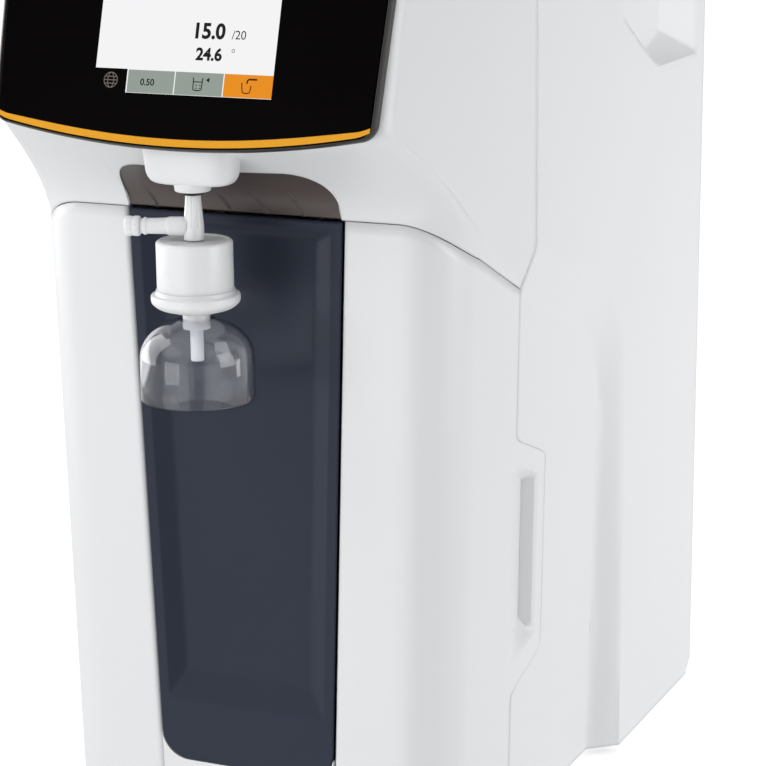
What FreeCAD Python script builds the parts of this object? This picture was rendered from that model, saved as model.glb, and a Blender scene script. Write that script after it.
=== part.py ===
import FreeCAD, Part
import math
import os
from FreeCAD import Vector as V

# Ultrapure water dispenser for a lab bench, in millimetres.
# X runs to the right, Y to the back and Z up. Depths are measured from the lower
# front face, and every piece is moved at the end so that the origin lies on the
# floor under the middle of the object.

# Overall size
body_width = 280.0
body_height = 560.0
rear_reach = 410.0
foot_height = 6.0
wall = 3.0
seam_gap = 0.6
overrun = 10.0
seat = 0.3
close_seat = 0.2

# Lower body: its front corners are round and its sides narrow towards the floor
seam_height = 390.0
waist_half_width = 131.3
toe_half_width = 122.6
front_corner = 33.0
side_seam_depth = 98.0
side_seam_height = 338.5
seam_knee_depth = 36.0
seam_knee_height = 367.1
seam_shoulder_depth = 12.0
seam_shoulder_height = 379.7
plinth_height = 14.0

# Head and display
display_tilt = 16.6
bezel_depth = 4.5
bezel_gap = 0.5
rim_low = 434.4
rim_rise = 8.6
rim_half_width = 110.0
head_half_width = 117.0
head_corner = 13.0
hood_edge_height = 364.0
head_edge_height = 445.0
top_round = 10.0
cove_power_share = 1.8

# Ramp from the lower body out to the full width, as places on the side
ramp_bend_depth = 188.0
ramp_bend_height = 330.0
ramp_mid_depth = 236.0
ramp_mid_height = 303.0
ramp_end_depth = 252.0
ramp_end_height = 262.0
ramp_inset = 10.5
ramp_drop = 25.5
ramp_step = 13.5

# Bay in the middle of the front
bay_half_top = 65.8
bay_half_low = 55.2
bay_low_height = 80.0
bay_bottom = 64.0
bay_corner = 17.0
bay_rim = 6.0
bay_recess = 5.0
bay_slope = 12.0
bay_sill_slope = 18.0
bay_sill_height = 101.0
bay_skin = 2.5

# Arched opening under the head and its ribbed liner
arch_half_width = 65.6
arch_reach = 26.0
arch_corner = 24.0
liner_skin = 2.5
liner_gap = 1.2
liner_rib_pitch = 22.6
liner_rib_width = 1.6
liner_rib_height = 1.2
liner_rib_count = 5
liner_rib_start = -49.0
liner_rib_lean_share = 0.7

# Doors and their hinges
door_bead = 3.5
hinge_pin_radius = 1.25
hinge_running = 0.06
hinge_pin_length = 12.0
hinge_boss = 5.0
tab_depth = 147.0
tab_low = 93.0
tab_low_corner = 108.0
tab_high_corner = 230.0
tab_high = 249.5
recess_front = 95.5
recess_back = 133.5
recess_high_front = 236.5
recess_high_back = 220.0
recess_low_front = 110.5
recess_low_back = 120.0
recess_lip = 1.4
recess_floor = 9.0
recess_wall_slope = 4.0
recess_high_step = 8.5
recess_low_step = 11.0
catch_size = 20.0
catch_thickness = 1.6
magnet_depth = 10.0

# Carrying grips in the rear housing
grip_tip_depth = 241.0
grip_front_depth = 317.0
grip_back_depth = 394.0
grip_low = 440.0
grip_high = 534.0
grip_tip_low = 478.5
grip_tip_high = 495.0
grip_floor = 18.0
grip_floor_front = 292.0
grip_floor_back = 366.0
grip_floor_step = 16.0
grip_skin = 2.5

# Rear face
rear_lean = 6.0
rear_recess = 16.0
rear_plate = 2.0
rear_chamfer = 10.0

# Outlet, filter capsule and bell, about one upright axis
outlet_depth = -45.0
outlet_boss_width = 56.0
outlet_boss_depth = 25.0
outlet_boss_low = 413.0
outlet_boss_high = 432.0
outlet_boss_draft = 3.5
outlet_boss_round = 5.5
outlet_ring_radius = 9.0
outlet_ring_low = 409.0
outlet_neck_radius = 10.0
outlet_neck_high = 447.0
outlet_stub_radius = 2.8
outlet_stub_length = 12.0
spigot_radius = 3.5
spigot_running = 0.08
spigot_length = 14.0
neck_top_radius = 4.1
neck_low_radius = 5.5
neck_top = 407.0
neck_flute_count = 10
neck_flute_radius = 0.5
o_ring_section = 0.75
capsule_radius = 20.6
capsule_top = 383.0
capsule_round = 2.5
collar_radius = 24.0
collar_top = 356.5
collar_height = 9.0
collar_cone = 4.5
spout_hub_radius = 7.5
spout_hub_low = 334.5
spout_radius = 3.6
spout_bore = 2.2
spout_low = 317.0
vent_height = 391.0
vent_radius = 3.4
vent_reach = 30.0
vent_yaw = 20.0
vent_cap_radius = 5.0
vent_cap_length = 8.0
vent_post_radius = 4.0
bell_radius = 31.0
bell_skin = 1.6
bell_rim = 296.5
bell_dome = 22.0
bell_shoulder = 319.0
bell_hub_height = 7.0
bell_running = 0.1

# Purification cartridges behind the doors
cartridge_radius = 37.0
cartridge_x = 76.0
cartridge_depth = 68.0
cartridge_low = 24.0
cartridge_high = 318.0
cartridge_round = 14.0
cartridge_band_height = 20.0
cartridge_band_proud = 1.5
cartridge_neck_radius = 19.0
cartridge_neck_height = 16.0
cartridge_lug = 3.0
cartridge_head_height = 30.0
cartridge_head_wall = 6.0
head_bracket_half = 12.0

# Inner frame
frame_sheet = 2.5
bulkhead_depth = 156.0
bulkhead_half = 114.0
web_x = 30.0
shelf_height = 390.0
shelf_half = 112.0
frame_flange = 14.0

# Machine parts behind the bulkhead
pump_radius = 28.0
pump_length = 70.0
pump_head_length = 30.0
pump_x = -70.0
pump_depth = 205.0
pump_foot = 8.0
uv_radius = 25.0
uv_length = 300.0
uv_x = 72.0
uv_depth = 215.0
uv_skin = 1.5
uv_cap_height = 12.0
uv_lamp_radius = 7.5
uv_end_gap = 6.0
uv_clamp_width = 10.0
supply_width = 110.0
supply_depth = 170.0
supply_height = 46.0
supply_setback = 40.0
manifold_width = 70.0
manifold_depth = 34.0
manifold_height = 50.0
manifold_low = 250.0
cell_radius = 7.0
cell_length = 26.0
cell_spacing = 34.0
valve_width = 32.0
valve_height = 40.0
valve_coil_radius = 13.0
leak_radius = 12.0
leak_height = 9.0
board_width = 150.0
board_height = 80.0
board_thickness = 1.6
board_standoff = 6.0
standoff_radius = 3.0
board_chip = 20.0
board_chip_height = 3.0

# Hoses inside the housing
hose_radius = 4.0
hose_bore = 2.9
hose_bend = 26.0
hose_tight_bend = 14.0
pump_hose_rise = 33.0
pump_hose_setback = 36.0
drain_hose_setback = 41.0
drain_hose_drop = 35.0
manifold_port_x = -20.0
port_stub_radius = 2.8
port_stub_length = 9.0

# Rear connections
inlet_x = 85.0
inlet_z = 60.0
inlet_width = 30.0
inlet_height = 24.0
inlet_flange_width = 52.0
inlet_flange_height = 66.0
inlet_proud = 3.0
inlet_body = 24.0
inlet_socket_width = 24.0
inlet_socket_height = 16.0
inlet_socket_depth = 15.0
inlet_blade_width = 2.0
inlet_blade_height = 4.0
inlet_blade_length = 11.0
inlet_blade_spacing = 7.0
rocker_width = 14.0
rocker_height = 20.0
rocker_gap = 0.7
rocker_depth = 9.0
rocker_proud = 1.5
rocker_drop = 30.0
rocker_tilt = 7.0
rocker_running = 0.05
fitting_x = -85.0
fitting_z = 60.0
fitting_spacing = 40.0
fitting_radius = 8.0
fitting_proud = 10.0
fitting_inside = 14.0
fitting_bore = 4.05
fitting_bore_length = 18.0
fitting_nut_radius = 10.5
fitting_nut_height = 5.0
port_width = 16.0
port_height = 14.0
port_z = 130.0
port_depth = 14.0
screw_head_radius = 3.6
screw_head_height = 2.2
screw_radius = 1.6
screw_length = 8.0
screw_inset = 9.0

# Feet
foot_radius = 13.0
foot_draft = 1.5
foot_x = 100.0
foot_front = 42.0
foot_back = 362.0

# Display pieces on the tilted face
glass_half_low = 110.5
glass_half_high = 113.5
glass_low = -28.0
glass_corner_rise = 11.4
glass_high = 86.0
glass_top_sag = 4.0
glass_corner = 8.0
glass_thickness = 2.6
bezel_rim = 2.4
stripe_height = 4.2
stripe_gap = 0.15
screen_centre = 39.0
screen_width = 112.0
screen_height = 86.0
screen_thickness = 4.0
display_plane_depth = -55.9
display_plane_height = 461.2

half_width = body_width / 2
front_y = (bell_radius - outlet_depth - rear_reach) / 2
rear_plate_depth = rear_reach - rear_lean - rear_recess
outlet_hose_height = outlet_neck_high - hose_radius - seat
manifold_centre_depth = bulkhead_depth + frame_sheet + close_seat + manifold_depth / 2
sin_tilt = math.sin(math.radians(display_tilt))
cos_tilt = math.cos(math.radians(display_tilt))
tan_tilt = sin_tilt / cos_tilt

os.makedirs("parts", exist_ok=True)


def keep(name, shape):
    """Moves a finished piece into the part's frame and writes it."""
    piece = shape.copy()
    piece.translate(V(0, front_y, 0))
    piece.exportStep("parts/" + name + ".step")
    print(name, "solids", len(piece.Solids), "volume", round(piece.Volume, 1), piece.isValid())


def box(x0, x1, y0, y1, z0, z1):
    return Part.makeBox(x1 - x0, y1 - y0, z1 - z0, V(x0, y0, z0))


def rod(x, y, z0, z1, radius):
    return Part.makeCylinder(radius, z1 - z0, V(x, y, z0), V(0, 0, 1))


def rod_back(x, z, y0, y1, radius):
    return Part.makeCylinder(radius, y1 - y0, V(x, y0, z), V(0, 1, 0))


def prism(points, direction):
    """Extrudes a closed flat polygon."""
    return Part.Face(Part.makePolygon(points + points[:1])).extrude(direction)


def side_prism(outline, x0, x1):
    """Extrudes an outline given as depths and heights from x0 to x1."""
    return prism([V(x0, y, z) for y, z in outline], V(x1 - x0, 0, 0))


def turned(profile, x, y):
    """Revolves an outline of radii and heights about an upright axis."""
    points = [V(x + r, y, z) for r, z in profile]
    face = Part.Face(Part.makePolygon(points + points[:1]))
    return face.revolve(V(x, y, 0), V(0, 0, 1), 360)


def mirrored(shape):
    return shape.mirror(V(0, 0, 0), V(1, 0, 0))


def both(shape):
    return shape, mirrored(shape)


def fuse(shapes):
    return shapes[0].multiFuse(list(shapes[1:])).removeSplitter()


def faceted(corners, faces):
    """Builds a solid from its corners and from faces that name them."""
    skins = []
    for face in faces:
        ring = [corners[name] for name in face]
        skins.append(Part.Face(Part.makePolygon(ring + ring[:1])))
    solid = Part.makeSolid(Part.makeShell(skins))
    if solid.Volume < 0:
        solid.reverse()
    return solid


def mix(a, b, share):
    return a + (b - a) * share


def lower_half(z):
    """Half width of the lower body at a height."""
    return mix(toe_half_width, waist_half_width, (z - foot_height) / (seam_height - foot_height))


def bay_half(z):
    """Half width of the bay at a height."""
    return mix(bay_half_low, bay_half_top, (z - bay_low_height) / (seam_height - bay_low_height))


def lower_outline(z, inset, back):
    half = lower_half(z) - inset
    radius = front_corner - inset
    bend = radius * math.sqrt(0.5)
    left = half - radius
    wire = [
        Part.LineSegment(V(-half, back, z), V(-half, inset + radius, z)),
        Part.Arc(V(-half, inset + radius, z), V(-left - bend, inset + radius - bend, z), V(-left, inset, z)),
        Part.LineSegment(V(-left, inset, z), V(left, inset, z)),
        Part.Arc(V(left, inset, z), V(left + bend, inset + radius - bend, z), V(half, inset + radius, z)),
        Part.LineSegment(V(half, inset + radius, z), V(half, back, z)),
        Part.LineSegment(V(half, back, z), V(-half, back, z)),
    ]
    return Part.Wire([edge.toShape() for edge in wire])


def lower_body(inset, low, high, back):
    """The tapered lower body as a solid, drawn in by an inset."""
    return Part.makeLoft([lower_outline(low, inset, back), lower_outline(high, inset, back)], True, True)


def seam_cut(lift, low, reach):
    """Everything under the seam between the doors and the hood, moved by a lift."""
    edge = [
        Part.LineSegment(V(0, -overrun, seam_height + lift), V(0, 0, seam_height + lift)),
        Part.Arc(V(0, 0, seam_height + lift), V(0, seam_shoulder_depth, seam_shoulder_height + lift),
                 V(0, seam_knee_depth, seam_knee_height + lift)),
        Part.LineSegment(V(0, seam_knee_depth, seam_knee_height + lift), V(0, reach, seam_line(reach) + lift)),
        Part.LineSegment(V(0, reach, seam_line(reach) + lift), V(0, reach, low)),
        Part.LineSegment(V(0, reach, low), V(0, -overrun, low)),
        Part.LineSegment(V(0, -overrun, low), V(0, -overrun, seam_height + lift)),
    ]
    face = Part.Face(Part.Wire([piece.toShape() for piece in edge]))
    face.translate(V(-body_width, 0, 0))
    return face.extrude(V(2 * body_width, 0, 0))


def seam_line(y):
    """Height of the straight rear run of the seam."""
    share = (y - seam_knee_depth) / (side_seam_depth - seam_knee_depth)
    return mix(seam_knee_height, side_seam_height, share)


def seam_curve(y):
    """Height of the seam at a depth, falling fast at first and then steadily."""
    if y >= seam_knee_depth:
        return seam_line(y)
    bow_shares = (y / seam_knee_depth, y / seam_shoulder_depth)
    straight = mix(seam_height, seam_knee_height, bow_shares[0])
    shoulder_share = seam_shoulder_depth / seam_knee_depth
    dip = mix(seam_height, seam_knee_height, shoulder_share) - seam_shoulder_height
    sag_share = bow_shares[0] * (1 - bow_shares[0]) / (shoulder_share * (1 - shoulder_share))
    return straight - dip * sag_share


def display_face(z):
    """Depth of the head's tilted front at a height."""
    outer = display_plane_depth + (z - display_plane_height) * tan_tilt
    return outer + (bezel_depth + bezel_gap) / cos_tilt


front_samples = 5
corner_samples = 6
side_samples = 6
hood_level_shares = (-1, -0.2, 0, 0.12, 0.3, 0.5, 0.7, 0.88, 1, 1.04, 1.3, 2)
hood_rails = [("front", index / front_samples) for index in range(front_samples)]
hood_rails += [("corner", index / corner_samples) for index in range(corner_samples + 1)]
hood_rails += [("side", (index + 1) / side_samples) for index in range(side_samples)]


def low_point(kind, share, z, inset, back):
    """A place on the lower body's outline, given by the run it lies on and a share of it."""
    half = lower_half(min(z, seam_height)) - inset
    radius = front_corner - inset
    if kind == "front":
        return share * (half - radius), inset
    if kind == "corner":
        turn = share * math.pi / 2
        return half - radius + radius * math.sin(turn), inset + radius - radius * math.cos(turn)
    return half, mix(inset + radius, back, share)


def high_point(kind, share, z, inset, back):
    """The same place on the head's outline, whose front leans back with the display."""
    face = display_face(z) + inset / cos_tilt
    half = head_half_width - inset
    radius = head_corner - inset
    side_angle = math.atan((half_width - inset - half) / (back - face))
    if kind == "front":
        return share * (half - radius), face
    last_turn = math.pi / 2 - side_angle
    turn = last_turn * (share if kind == "corner" else 1)
    x = half - radius + radius * math.sin(turn)
    y = face + radius - radius * math.cos(turn)
    if kind == "corner":
        return x, y
    return mix(x, half_width - inset, share), mix(y, back, share)


def rim_height(kind, share, inset, back):
    """Height where the cove under the head ends."""
    if kind == "side":
        return mix(head_edge_height, hood_edge_height, share)
    x = high_point(kind, share, head_edge_height, inset, back)[0]
    rise = rim_low + rim_rise * min(1, x / rim_half_width) ** 2
    return mix(rise, head_edge_height, share if kind == "corner" else 0)


def hood_point(kind, share, level, inset, back):
    """A place on the hood: level 0 is the seam to the doors, 1 the cove's rim and 2 the top."""
    bottom = seam_curve(low_point(kind, share, seam_height, inset, back)[1] - inset)
    top = rim_height(kind, share, inset, back)
    if level <= 0:
        z = mix(side_seam_height - overrun, bottom, level + 1)
        return V(*low_point(kind, share, z, inset, back), z)
    if level >= 1:
        z = mix(top, body_height - max(top_round, inset), level - 1)
        return V(*high_point(kind, share, z, inset, back), z)
    z = mix(bottom, top, level)
    power = cove_power_share if kind != "side" else mix(cove_power_share, 1, share)
    low = low_point(kind, share, z, inset, back)
    high = high_point(kind, share, z, inset, back)
    climb = level ** power
    return V(mix(low[0], high[0], climb), mix(low[1], high[1], climb), z)


def closed_slice(right):
    """Closes the right half of an outline with its mirror image and a straight back."""
    left = [V(-point.x, point.y, point.z) for point in reversed(right[1:])]
    points = left + right
    curve = Part.BSplineCurve()
    curve.interpolate(points)
    return Part.Wire([curve.toShape(), Part.LineSegment(points[-1], points[0]).toShape()])


def hood_block(inset, back):
    """The hood as a solid, lofted through slices that follow its seam and its rim."""
    slices = []
    for level in hood_level_shares:
        slices.append(closed_slice([hood_point(kind, share, level, inset, back) for kind, share in hood_rails]))
    rounding_steps = 4
    for index in range(rounding_steps if inset == 0 else 0):
        turn = (index + 1) / rounding_steps * math.pi / 2
        draw = top_round * (1 - math.cos(turn))
        z = body_height - top_round + top_round * math.sin(turn)
        slices.append(closed_slice([V(*high_point(kind, share, z, draw, back), z) for kind, share in hood_rails]))
    return Part.makeLoft(slices, True, True)


def rounded_plan(x0, x1, y0, y1, radius, z0, z1):
    """An upright block with four round corners."""
    block = box(x0, x1, y0, y1, z0, z1)
    upright = [e for e in block.Edges if abs(e.Vertexes[0].X - e.Vertexes[-1].X) < seat
               and abs(e.Vertexes[0].Y - e.Vertexes[-1].Y) < seat]
    return block.makeFillet(radius, upright)


def outlet_boss_body(grow):
    """The white block that holds the outlet, narrower at its foot."""
    half_x = outlet_boss_width / 2 + grow
    half_y = outlet_boss_depth / 2 + grow
    wires = []
    for z, draw in ((outlet_boss_low - grow, outlet_boss_draft), (outlet_boss_high + grow, 0)):
        corner = half_y - draw - seat
        slab = rounded_plan(-half_x + draw, half_x - draw, outlet_depth - half_y + draw,
                            outlet_depth + half_y - draw, corner, z, z + seat)
        wires.append(slab.Faces[[abs(f.CenterOfMass.z - z) < seat / 3 for f in slab.Faces].index(True)].OuterWire)
    return Part.makeLoft(wires, True, True)


def hinge_x(z):
    """The hinge axis runs beside the bay's slanted edge."""
    return bay_half(z) + seam_gap + door_bead


def hinge_rod(low, high, radius):
    start = V(hinge_x(low), door_bead, low)
    run = V(hinge_x(high), door_bead, high) - start
    return Part.makeCylinder(radius, run.Length, start, run)


def make_hood():
    outer = hood_block(0, side_seam_depth - seam_gap / 2)
    inner = hood_block(wall, side_seam_depth + overrun)
    top = seam_height + hinge_pin_length + wall
    boss = hinge_rod(seam_height - overrun, top, hinge_boss)
    shell = outer.cut(inner).fuse([side.common(outer) for side in both(boss)])
    shell = shell.cut(seam_cut(0, side_seam_height - 2 * overrun, side_seam_depth + overrun))
    pin = hinge_rod(seam_height - overrun, seam_height + hinge_pin_length, hinge_pin_radius + hinge_running)
    relief = hinge_rod(seam_height - 3 * door_bead, seam_height, door_bead + seam_gap)
    inner_relief = box(arch_half_width - seam_gap, hinge_x(seam_height), -overrun, 2 * door_bead + seam_gap,
                       seam_height - 3 * door_bead, seam_height)
    arch = arch_block(0, seam_height - overrun, rim_low + overrun)
    window = on_display(box(-screen_width / 2, screen_width / 2, -wall - overrun, overrun,
                            screen_centre - screen_height / 2, screen_centre + screen_height / 2))
    neck = rod(0, outlet_depth, rim_low - overrun, rim_low + 2 * overrun, outlet_neck_radius + seat)
    for cutter in both(pin) + both(relief) + both(inner_relief) + (arch, outlet_boss_body(seat), window, neck):
        shell = shell.cut(cutter)
    return shell


def on_display(shape):
    """Tilts a shape drawn upright at the display's lower screen edge onto its plane."""
    piece = shape.copy()
    piece.rotate(V(0, 0, 0), V(1, 0, 0), -display_tilt)
    piece.translate(V(0, display_plane_depth, display_plane_height))
    return piece


def glass_outline(grow, lift, y0, y1):
    """The display's outline, with a bowed foot and slightly spread sides."""
    low = glass_low - grow + lift
    high = glass_high + grow
    half_low = glass_half_low + grow
    half_high = glass_half_high + grow
    corner = low + glass_corner_rise
    edges = [
        Part.Arc(V(-half_low, y0, corner), V(0, y0, low), V(half_low, y0, corner)),
        Part.LineSegment(V(half_low, y0, corner), V(half_high, y0, high - glass_top_sag)),
        Part.Arc(V(half_high, y0, high - glass_top_sag), V(0, y0, high), V(-half_high, y0, high - glass_top_sag)),
        Part.LineSegment(V(-half_high, y0, high - glass_top_sag), V(-half_low, y0, corner)),
    ]
    slab = Part.Face(Part.Wire([e.toShape() for e in edges])).extrude(V(0, y1 - y0, 0))
    upright = [e for e in slab.Edges if abs(e.Vertexes[0].X - e.Vertexes[-1].X) < seat
               and abs(e.Vertexes[0].Z - e.Vertexes[-1].Z) < seat]
    return slab.makeFillet(glass_corner + grow, upright)


def make_display():
    frame = glass_outline(bezel_rim, 0, 0, bezel_depth)
    edge = [e for e in frame.Edges if max(v.Y for v in e.Vertexes) < seat]
    frame = frame.makeChamfer(bezel_rim / 2, edge)
    pocket = glass_outline(0, 0, -overrun, glass_thickness + close_seat)
    half_window = screen_width / 2
    window = box(-half_window, half_window, -overrun, bezel_depth + overrun,
                 screen_centre - screen_height / 2, screen_centre + screen_height / 2)
    keep("display_bezel", on_display(frame.cut(pocket).cut(window)))
    whole = glass_outline(-stripe_gap, 0, 0, glass_thickness)
    raised = glass_outline(-stripe_gap, stripe_height, -overrun, glass_thickness + overrun)
    glass = whole.common(raised)
    raised = glass_outline(0, stripe_height, -overrun, glass_thickness + overrun)
    keep("display_glass", on_display(glass))
    keep("accent_stripe", on_display(whole.cut(raised)))
    back = glass_thickness + close_seat
    panel = box(-half_window + seat, half_window - seat, back, back + screen_thickness,
                screen_centre - screen_height / 2 + seat, screen_centre + screen_height / 2 - seat)
    keep("lcd_panel", on_display(panel))


def make_board():
    """Controller board behind the head's face, on four posts."""
    face = bezel_depth + bezel_gap + wall
    back = face + board_standoff
    low = screen_centre - board_height / 2
    board = box(-board_width / 2, board_width / 2, back, back + board_thickness, low, low + board_height)
    shapes = [board]
    for x in (-board_width / 2 + screw_inset, board_width / 2 - screw_inset):
        for z in (low + screw_inset, low + board_height - screw_inset):
            shapes.append(rod_back(x, z, face + seat, back, standoff_radius))
    for x in (-board_chip * 2, 0, board_chip * 2):
        shapes.append(box(x - board_chip / 2, x + board_chip / 2, back + board_thickness,
                          back + board_thickness + board_chip_height,
                          screen_centre - board_chip / 2, screen_centre + board_chip / 2))
    keep("controller_board", on_display(fuse(shapes)))


def ramp_wire(x, share):
    """The ramp's line on the side, moved down and forward by a share of its inset."""
    drop = ramp_drop * share
    step = ramp_step * share
    start = side_seam_depth - overrun
    slope = (hood_edge_height - ramp_bend_height) / (ramp_bend_depth - side_seam_depth)
    first = V(x, start, hood_edge_height + slope * overrun - drop)
    bend = V(x, ramp_bend_depth - step / 2, ramp_bend_height - drop)
    middle = V(x, ramp_mid_depth - step, ramp_mid_height - drop)
    end = V(x, ramp_end_depth - step, ramp_end_height - drop)
    curve = Part.BSplineCurve()
    curve.interpolate(Points=[first, bend, middle, end], InitialTangent=V(0, 1, -slope), FinalTangent=V(0, 0, -1))
    foot = V(x, ramp_end_depth - step, -overrun)
    corner = V(x, start, -overrun)
    edges = [curve, Part.LineSegment(end, foot), Part.LineSegment(foot, corner), Part.LineSegment(corner, first)]
    return Part.Wire([e.toShape() for e in edges])


def ramp_cutter():
    """What lies outside the ramp on the right side."""
    spread = 0.5
    outer = ramp_wire(half_width + ramp_inset * spread, -spread)
    inner = ramp_wire(half_width - 2 * ramp_inset, 2)
    return Part.makeLoft([outer, inner], True, True)


def door_side_outline(grow):
    """The door's outline seen from the side, up to the side seam and its grip tab."""
    back = side_seam_depth + grow
    return [(-overrun, plinth_height + seam_gap - grow), (back, plinth_height + seam_gap - grow),
            (back, tab_low - grow), (tab_depth + grow, tab_low_corner - grow),
            (tab_depth + grow, tab_high_corner + grow), (back, tab_high + grow),
            (back, body_height), (-overrun, body_height)]


def make_rear_housing():
    lean = rear_reach - rear_lean
    front = side_seam_depth + seam_gap / 2
    profile = [(front, foot_height), (lean - rear_chamfer, foot_height), (lean, foot_height + rear_chamfer),
               (rear_reach, body_height), (front, body_height)]
    block = side_prism(profile, -half_width, half_width)
    long_edges = [e for e in block.Edges if abs(e.Vertexes[0].Z - body_height) < seat
                  and abs(e.Vertexes[-1].Z - body_height) < seat
                  and abs(e.Vertexes[0].X - e.Vertexes[-1].X) < seat]
    block = block.makeFillet(top_round, long_edges)
    lower = lower_body(0, -2 * overrun, seam_height, ramp_end_depth + ramp_inset)
    cutter = ramp_cutter().cut(lower)
    for side in both(cutter):
        block = block.cut(side)
    inside = toe_half_width - 1.4 * wall
    hollow = fuse([
        box(-inside, inside, 0, 2 * rear_reach, -overrun, body_height - wall),
        box(-half_width + wall, half_width - wall, 0, 2 * rear_reach,
            hood_edge_height + 2 * wall, body_height - wall - top_round / 3),
        box(-half_width + wall, half_width - wall, ramp_end_depth + 3 * wall, 2 * rear_reach,
            -overrun, body_height - wall - top_round / 3),
    ])
    shell = block.cut(hollow)
    pocket = grip_pocket(0)
    backing = grip_pocket(grip_skin).common(block)
    for side in both(backing):
        shell = shell.fuse(side)
    for side in both(pocket):
        shell = shell.cut(side)
    notch = side_prism(door_side_outline(seam_gap / 2), 0, body_width)
    notch = notch.common(box(0, body_width, 0, tab_depth + overrun, 0, side_seam_height))
    for side in both(notch):
        shell = shell.cut(side)
    return shell


def grip_pocket(grow):
    """Carrying grip: a wedge that deepens towards the rear, with a step above and below."""
    face = half_width + overrun
    tip = grip_tip_depth - grow
    front = grip_front_depth - grow
    back = grip_back_depth + grow
    low = grip_low - grow
    high = grip_high + grow
    slope = grip_floor / (grip_floor_back - grip_tip_depth)
    near = half_width - slope * (grip_floor_front - grip_tip_depth) - grow
    deep = half_width - grip_floor - grow
    step = grip_floor_step
    corners = {}
    mouth = {"tip_low": (tip, grip_tip_low - grow), "low": (front, low), "low_back": (back, low),
             "high_back": (back, high), "high": (front, high), "tip_high": (tip, grip_tip_high + grow)}
    for name, (y, z) in mouth.items():
        corners[name] = V(half_width, y, z)
        corners[name + "_out"] = V(face, y, z)
    corners["in_low"] = V(near, grip_floor_front - grow, low + step)
    corners["in_low_back"] = V(deep, grip_floor_back + grow, low + step)
    corners["in_high_back"] = V(deep, grip_floor_back + grow, high - step)
    corners["in_high"] = V(near, grip_floor_front - grow, high - step)
    ring = ["tip_low", "low", "low_back", "high_back", "high", "tip_high"]
    faces = [[name + "_out" for name in reversed(ring)]]
    for index, name in enumerate(ring):
        after = ring[(index + 1) % len(ring)]
        faces.append([name, name + "_out", after + "_out", after])
    faces += [["tip_low", "in_low", "low"], ["low", "in_low", "low_back"], ["in_low", "in_low_back", "low_back"],
              ["low_back", "in_low_back", "high_back"], ["in_low_back", "in_high_back", "high_back"],
              ["high_back", "in_high_back", "high"], ["in_high_back", "in_high", "high"],
              ["high", "in_high", "tip_high"], ["tip_high", "in_high", "tip_low"],
              ["in_high", "in_low", "tip_low"], ["in_low", "in_high", "in_low_back"],
              ["in_high", "in_high_back", "in_low_back"]]
    return faceted(corners, faces)


def finger_recess(grow):
    """Finger recess of a door: it deepens towards the rear and ends at a lip."""
    face = waist_half_width + overrun
    front = recess_front - grow
    back = recess_back + grow
    points = {"low_front": (front, recess_low_front - grow), "low_back": (back, recess_low_back - grow),
              "high_back": (back, recess_high_back + grow), "high_front": (front, recess_high_front + grow)}
    corners = {}
    for name, (y, z) in points.items():
        corners[name] = V(lower_half(z), y, z)
        corners[name + "_out"] = V(face, y, z)
    rear = back - recess_wall_slope / 2
    low = points["low_back"][1] + recess_low_step
    high = points["high_back"][1] - recess_wall_slope
    near_high = points["high_front"][1] - recess_high_step
    corners["in_low"] = V(lower_half(low) - recess_floor - grow, rear, low)
    corners["in_high"] = V(lower_half(high) - recess_floor - grow, rear, high)
    corners["near_low"] = V(lower_half(low) - recess_lip - grow, front, low)
    corners["near_high"] = V(lower_half(near_high) - recess_lip - grow, front, near_high)
    ring = ["low_front", "low_back", "high_back", "high_front"]
    faces = [[name + "_out" for name in reversed(ring)]]
    for index, name in enumerate(ring):
        after = ring[(index + 1) % len(ring)]
        if name != "high_front":
            faces.append([name, name + "_out", after + "_out", after])
    faces += [["high_front", "high_front_out", "low_front_out", "low_front", "near_low", "near_high"]]
    faces += [["low_front", "near_low", "low_back"], ["near_low", "in_low", "low_back"],
              ["low_back", "in_low", "high_back"], ["in_low", "in_high", "high_back"],
              ["high_back", "in_high", "near_high"], ["high_back", "near_high", "high_front"],
              ["near_low", "near_high", "in_low"], ["near_high", "in_high", "in_low"]]
    return corners, faces


def recess_solid(grow):
    corners, faces = finger_recess(grow)
    flat = [face for face in faces if len(face) < 5]
    long = [face for face in faces if len(face) > 4][0]
    fan = [[long[0], long[index], long[index + 1]] for index in range(1, len(long) - 1)]
    return faceted(corners, flat + fan)


def make_door():
    """Right door: a thin shell round the front corner with a bead along its hinge."""
    low = plinth_height + seam_gap
    high = seam_height - seam_gap / 2
    reach = tab_depth + overrun
    outer = lower_body(0, low, high + seam_gap, reach)
    inner = lower_body(wall, low - overrun, high + overrun, reach + overrun)
    under = seam_cut(-seam_gap, 0, reach + overrun)
    side = side_prism(door_side_outline(-seam_gap / 2), -body_width, body_width)
    front = prism([V(hinge_x(low), -overrun, low), V(body_width, -overrun, low), V(body_width, -overrun, high),
                   V(hinge_x(high), -overrun, high)], V(0, 2 * rear_reach, 0))
    mask = side.common(front).common(under)
    bead = hinge_rod(low - overrun, high + overrun, door_bead)
    bead = bead.common(box(0, body_width, -overrun, overrun, low, high - seam_gap / 2))
    door = outer.cut(inner).common(mask)
    backing = recess_solid(wall).common(outer).common(mask)
    door = door.fuse([backing, bead]).cut(recess_solid(0))
    bore = hinge_pin_radius + hinge_running
    for start, end in ((low - overrun, low + hinge_pin_length), (high - hinge_pin_length, high + overrun)):
        door = door.cut(hinge_rod(start, end, bore))
    return door


def make_catches():
    """Steel plates inside the door tabs and the magnets that hold them."""
    z = (tab_low_corner + tab_high_corner) / 2
    y1 = tab_depth - seam_gap
    y0 = y1 - magnet_depth
    top = z + catch_size / 2
    low = z - catch_size / 2
    inner = lower_half(low) - wall - close_seat
    plate = box(inner - catch_thickness, inner, y0, y1, low, top)
    magnet = box(bulkhead_half + close_seat, inner - catch_thickness - seat, y0, y1, low, top)
    return plate, magnet


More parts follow.
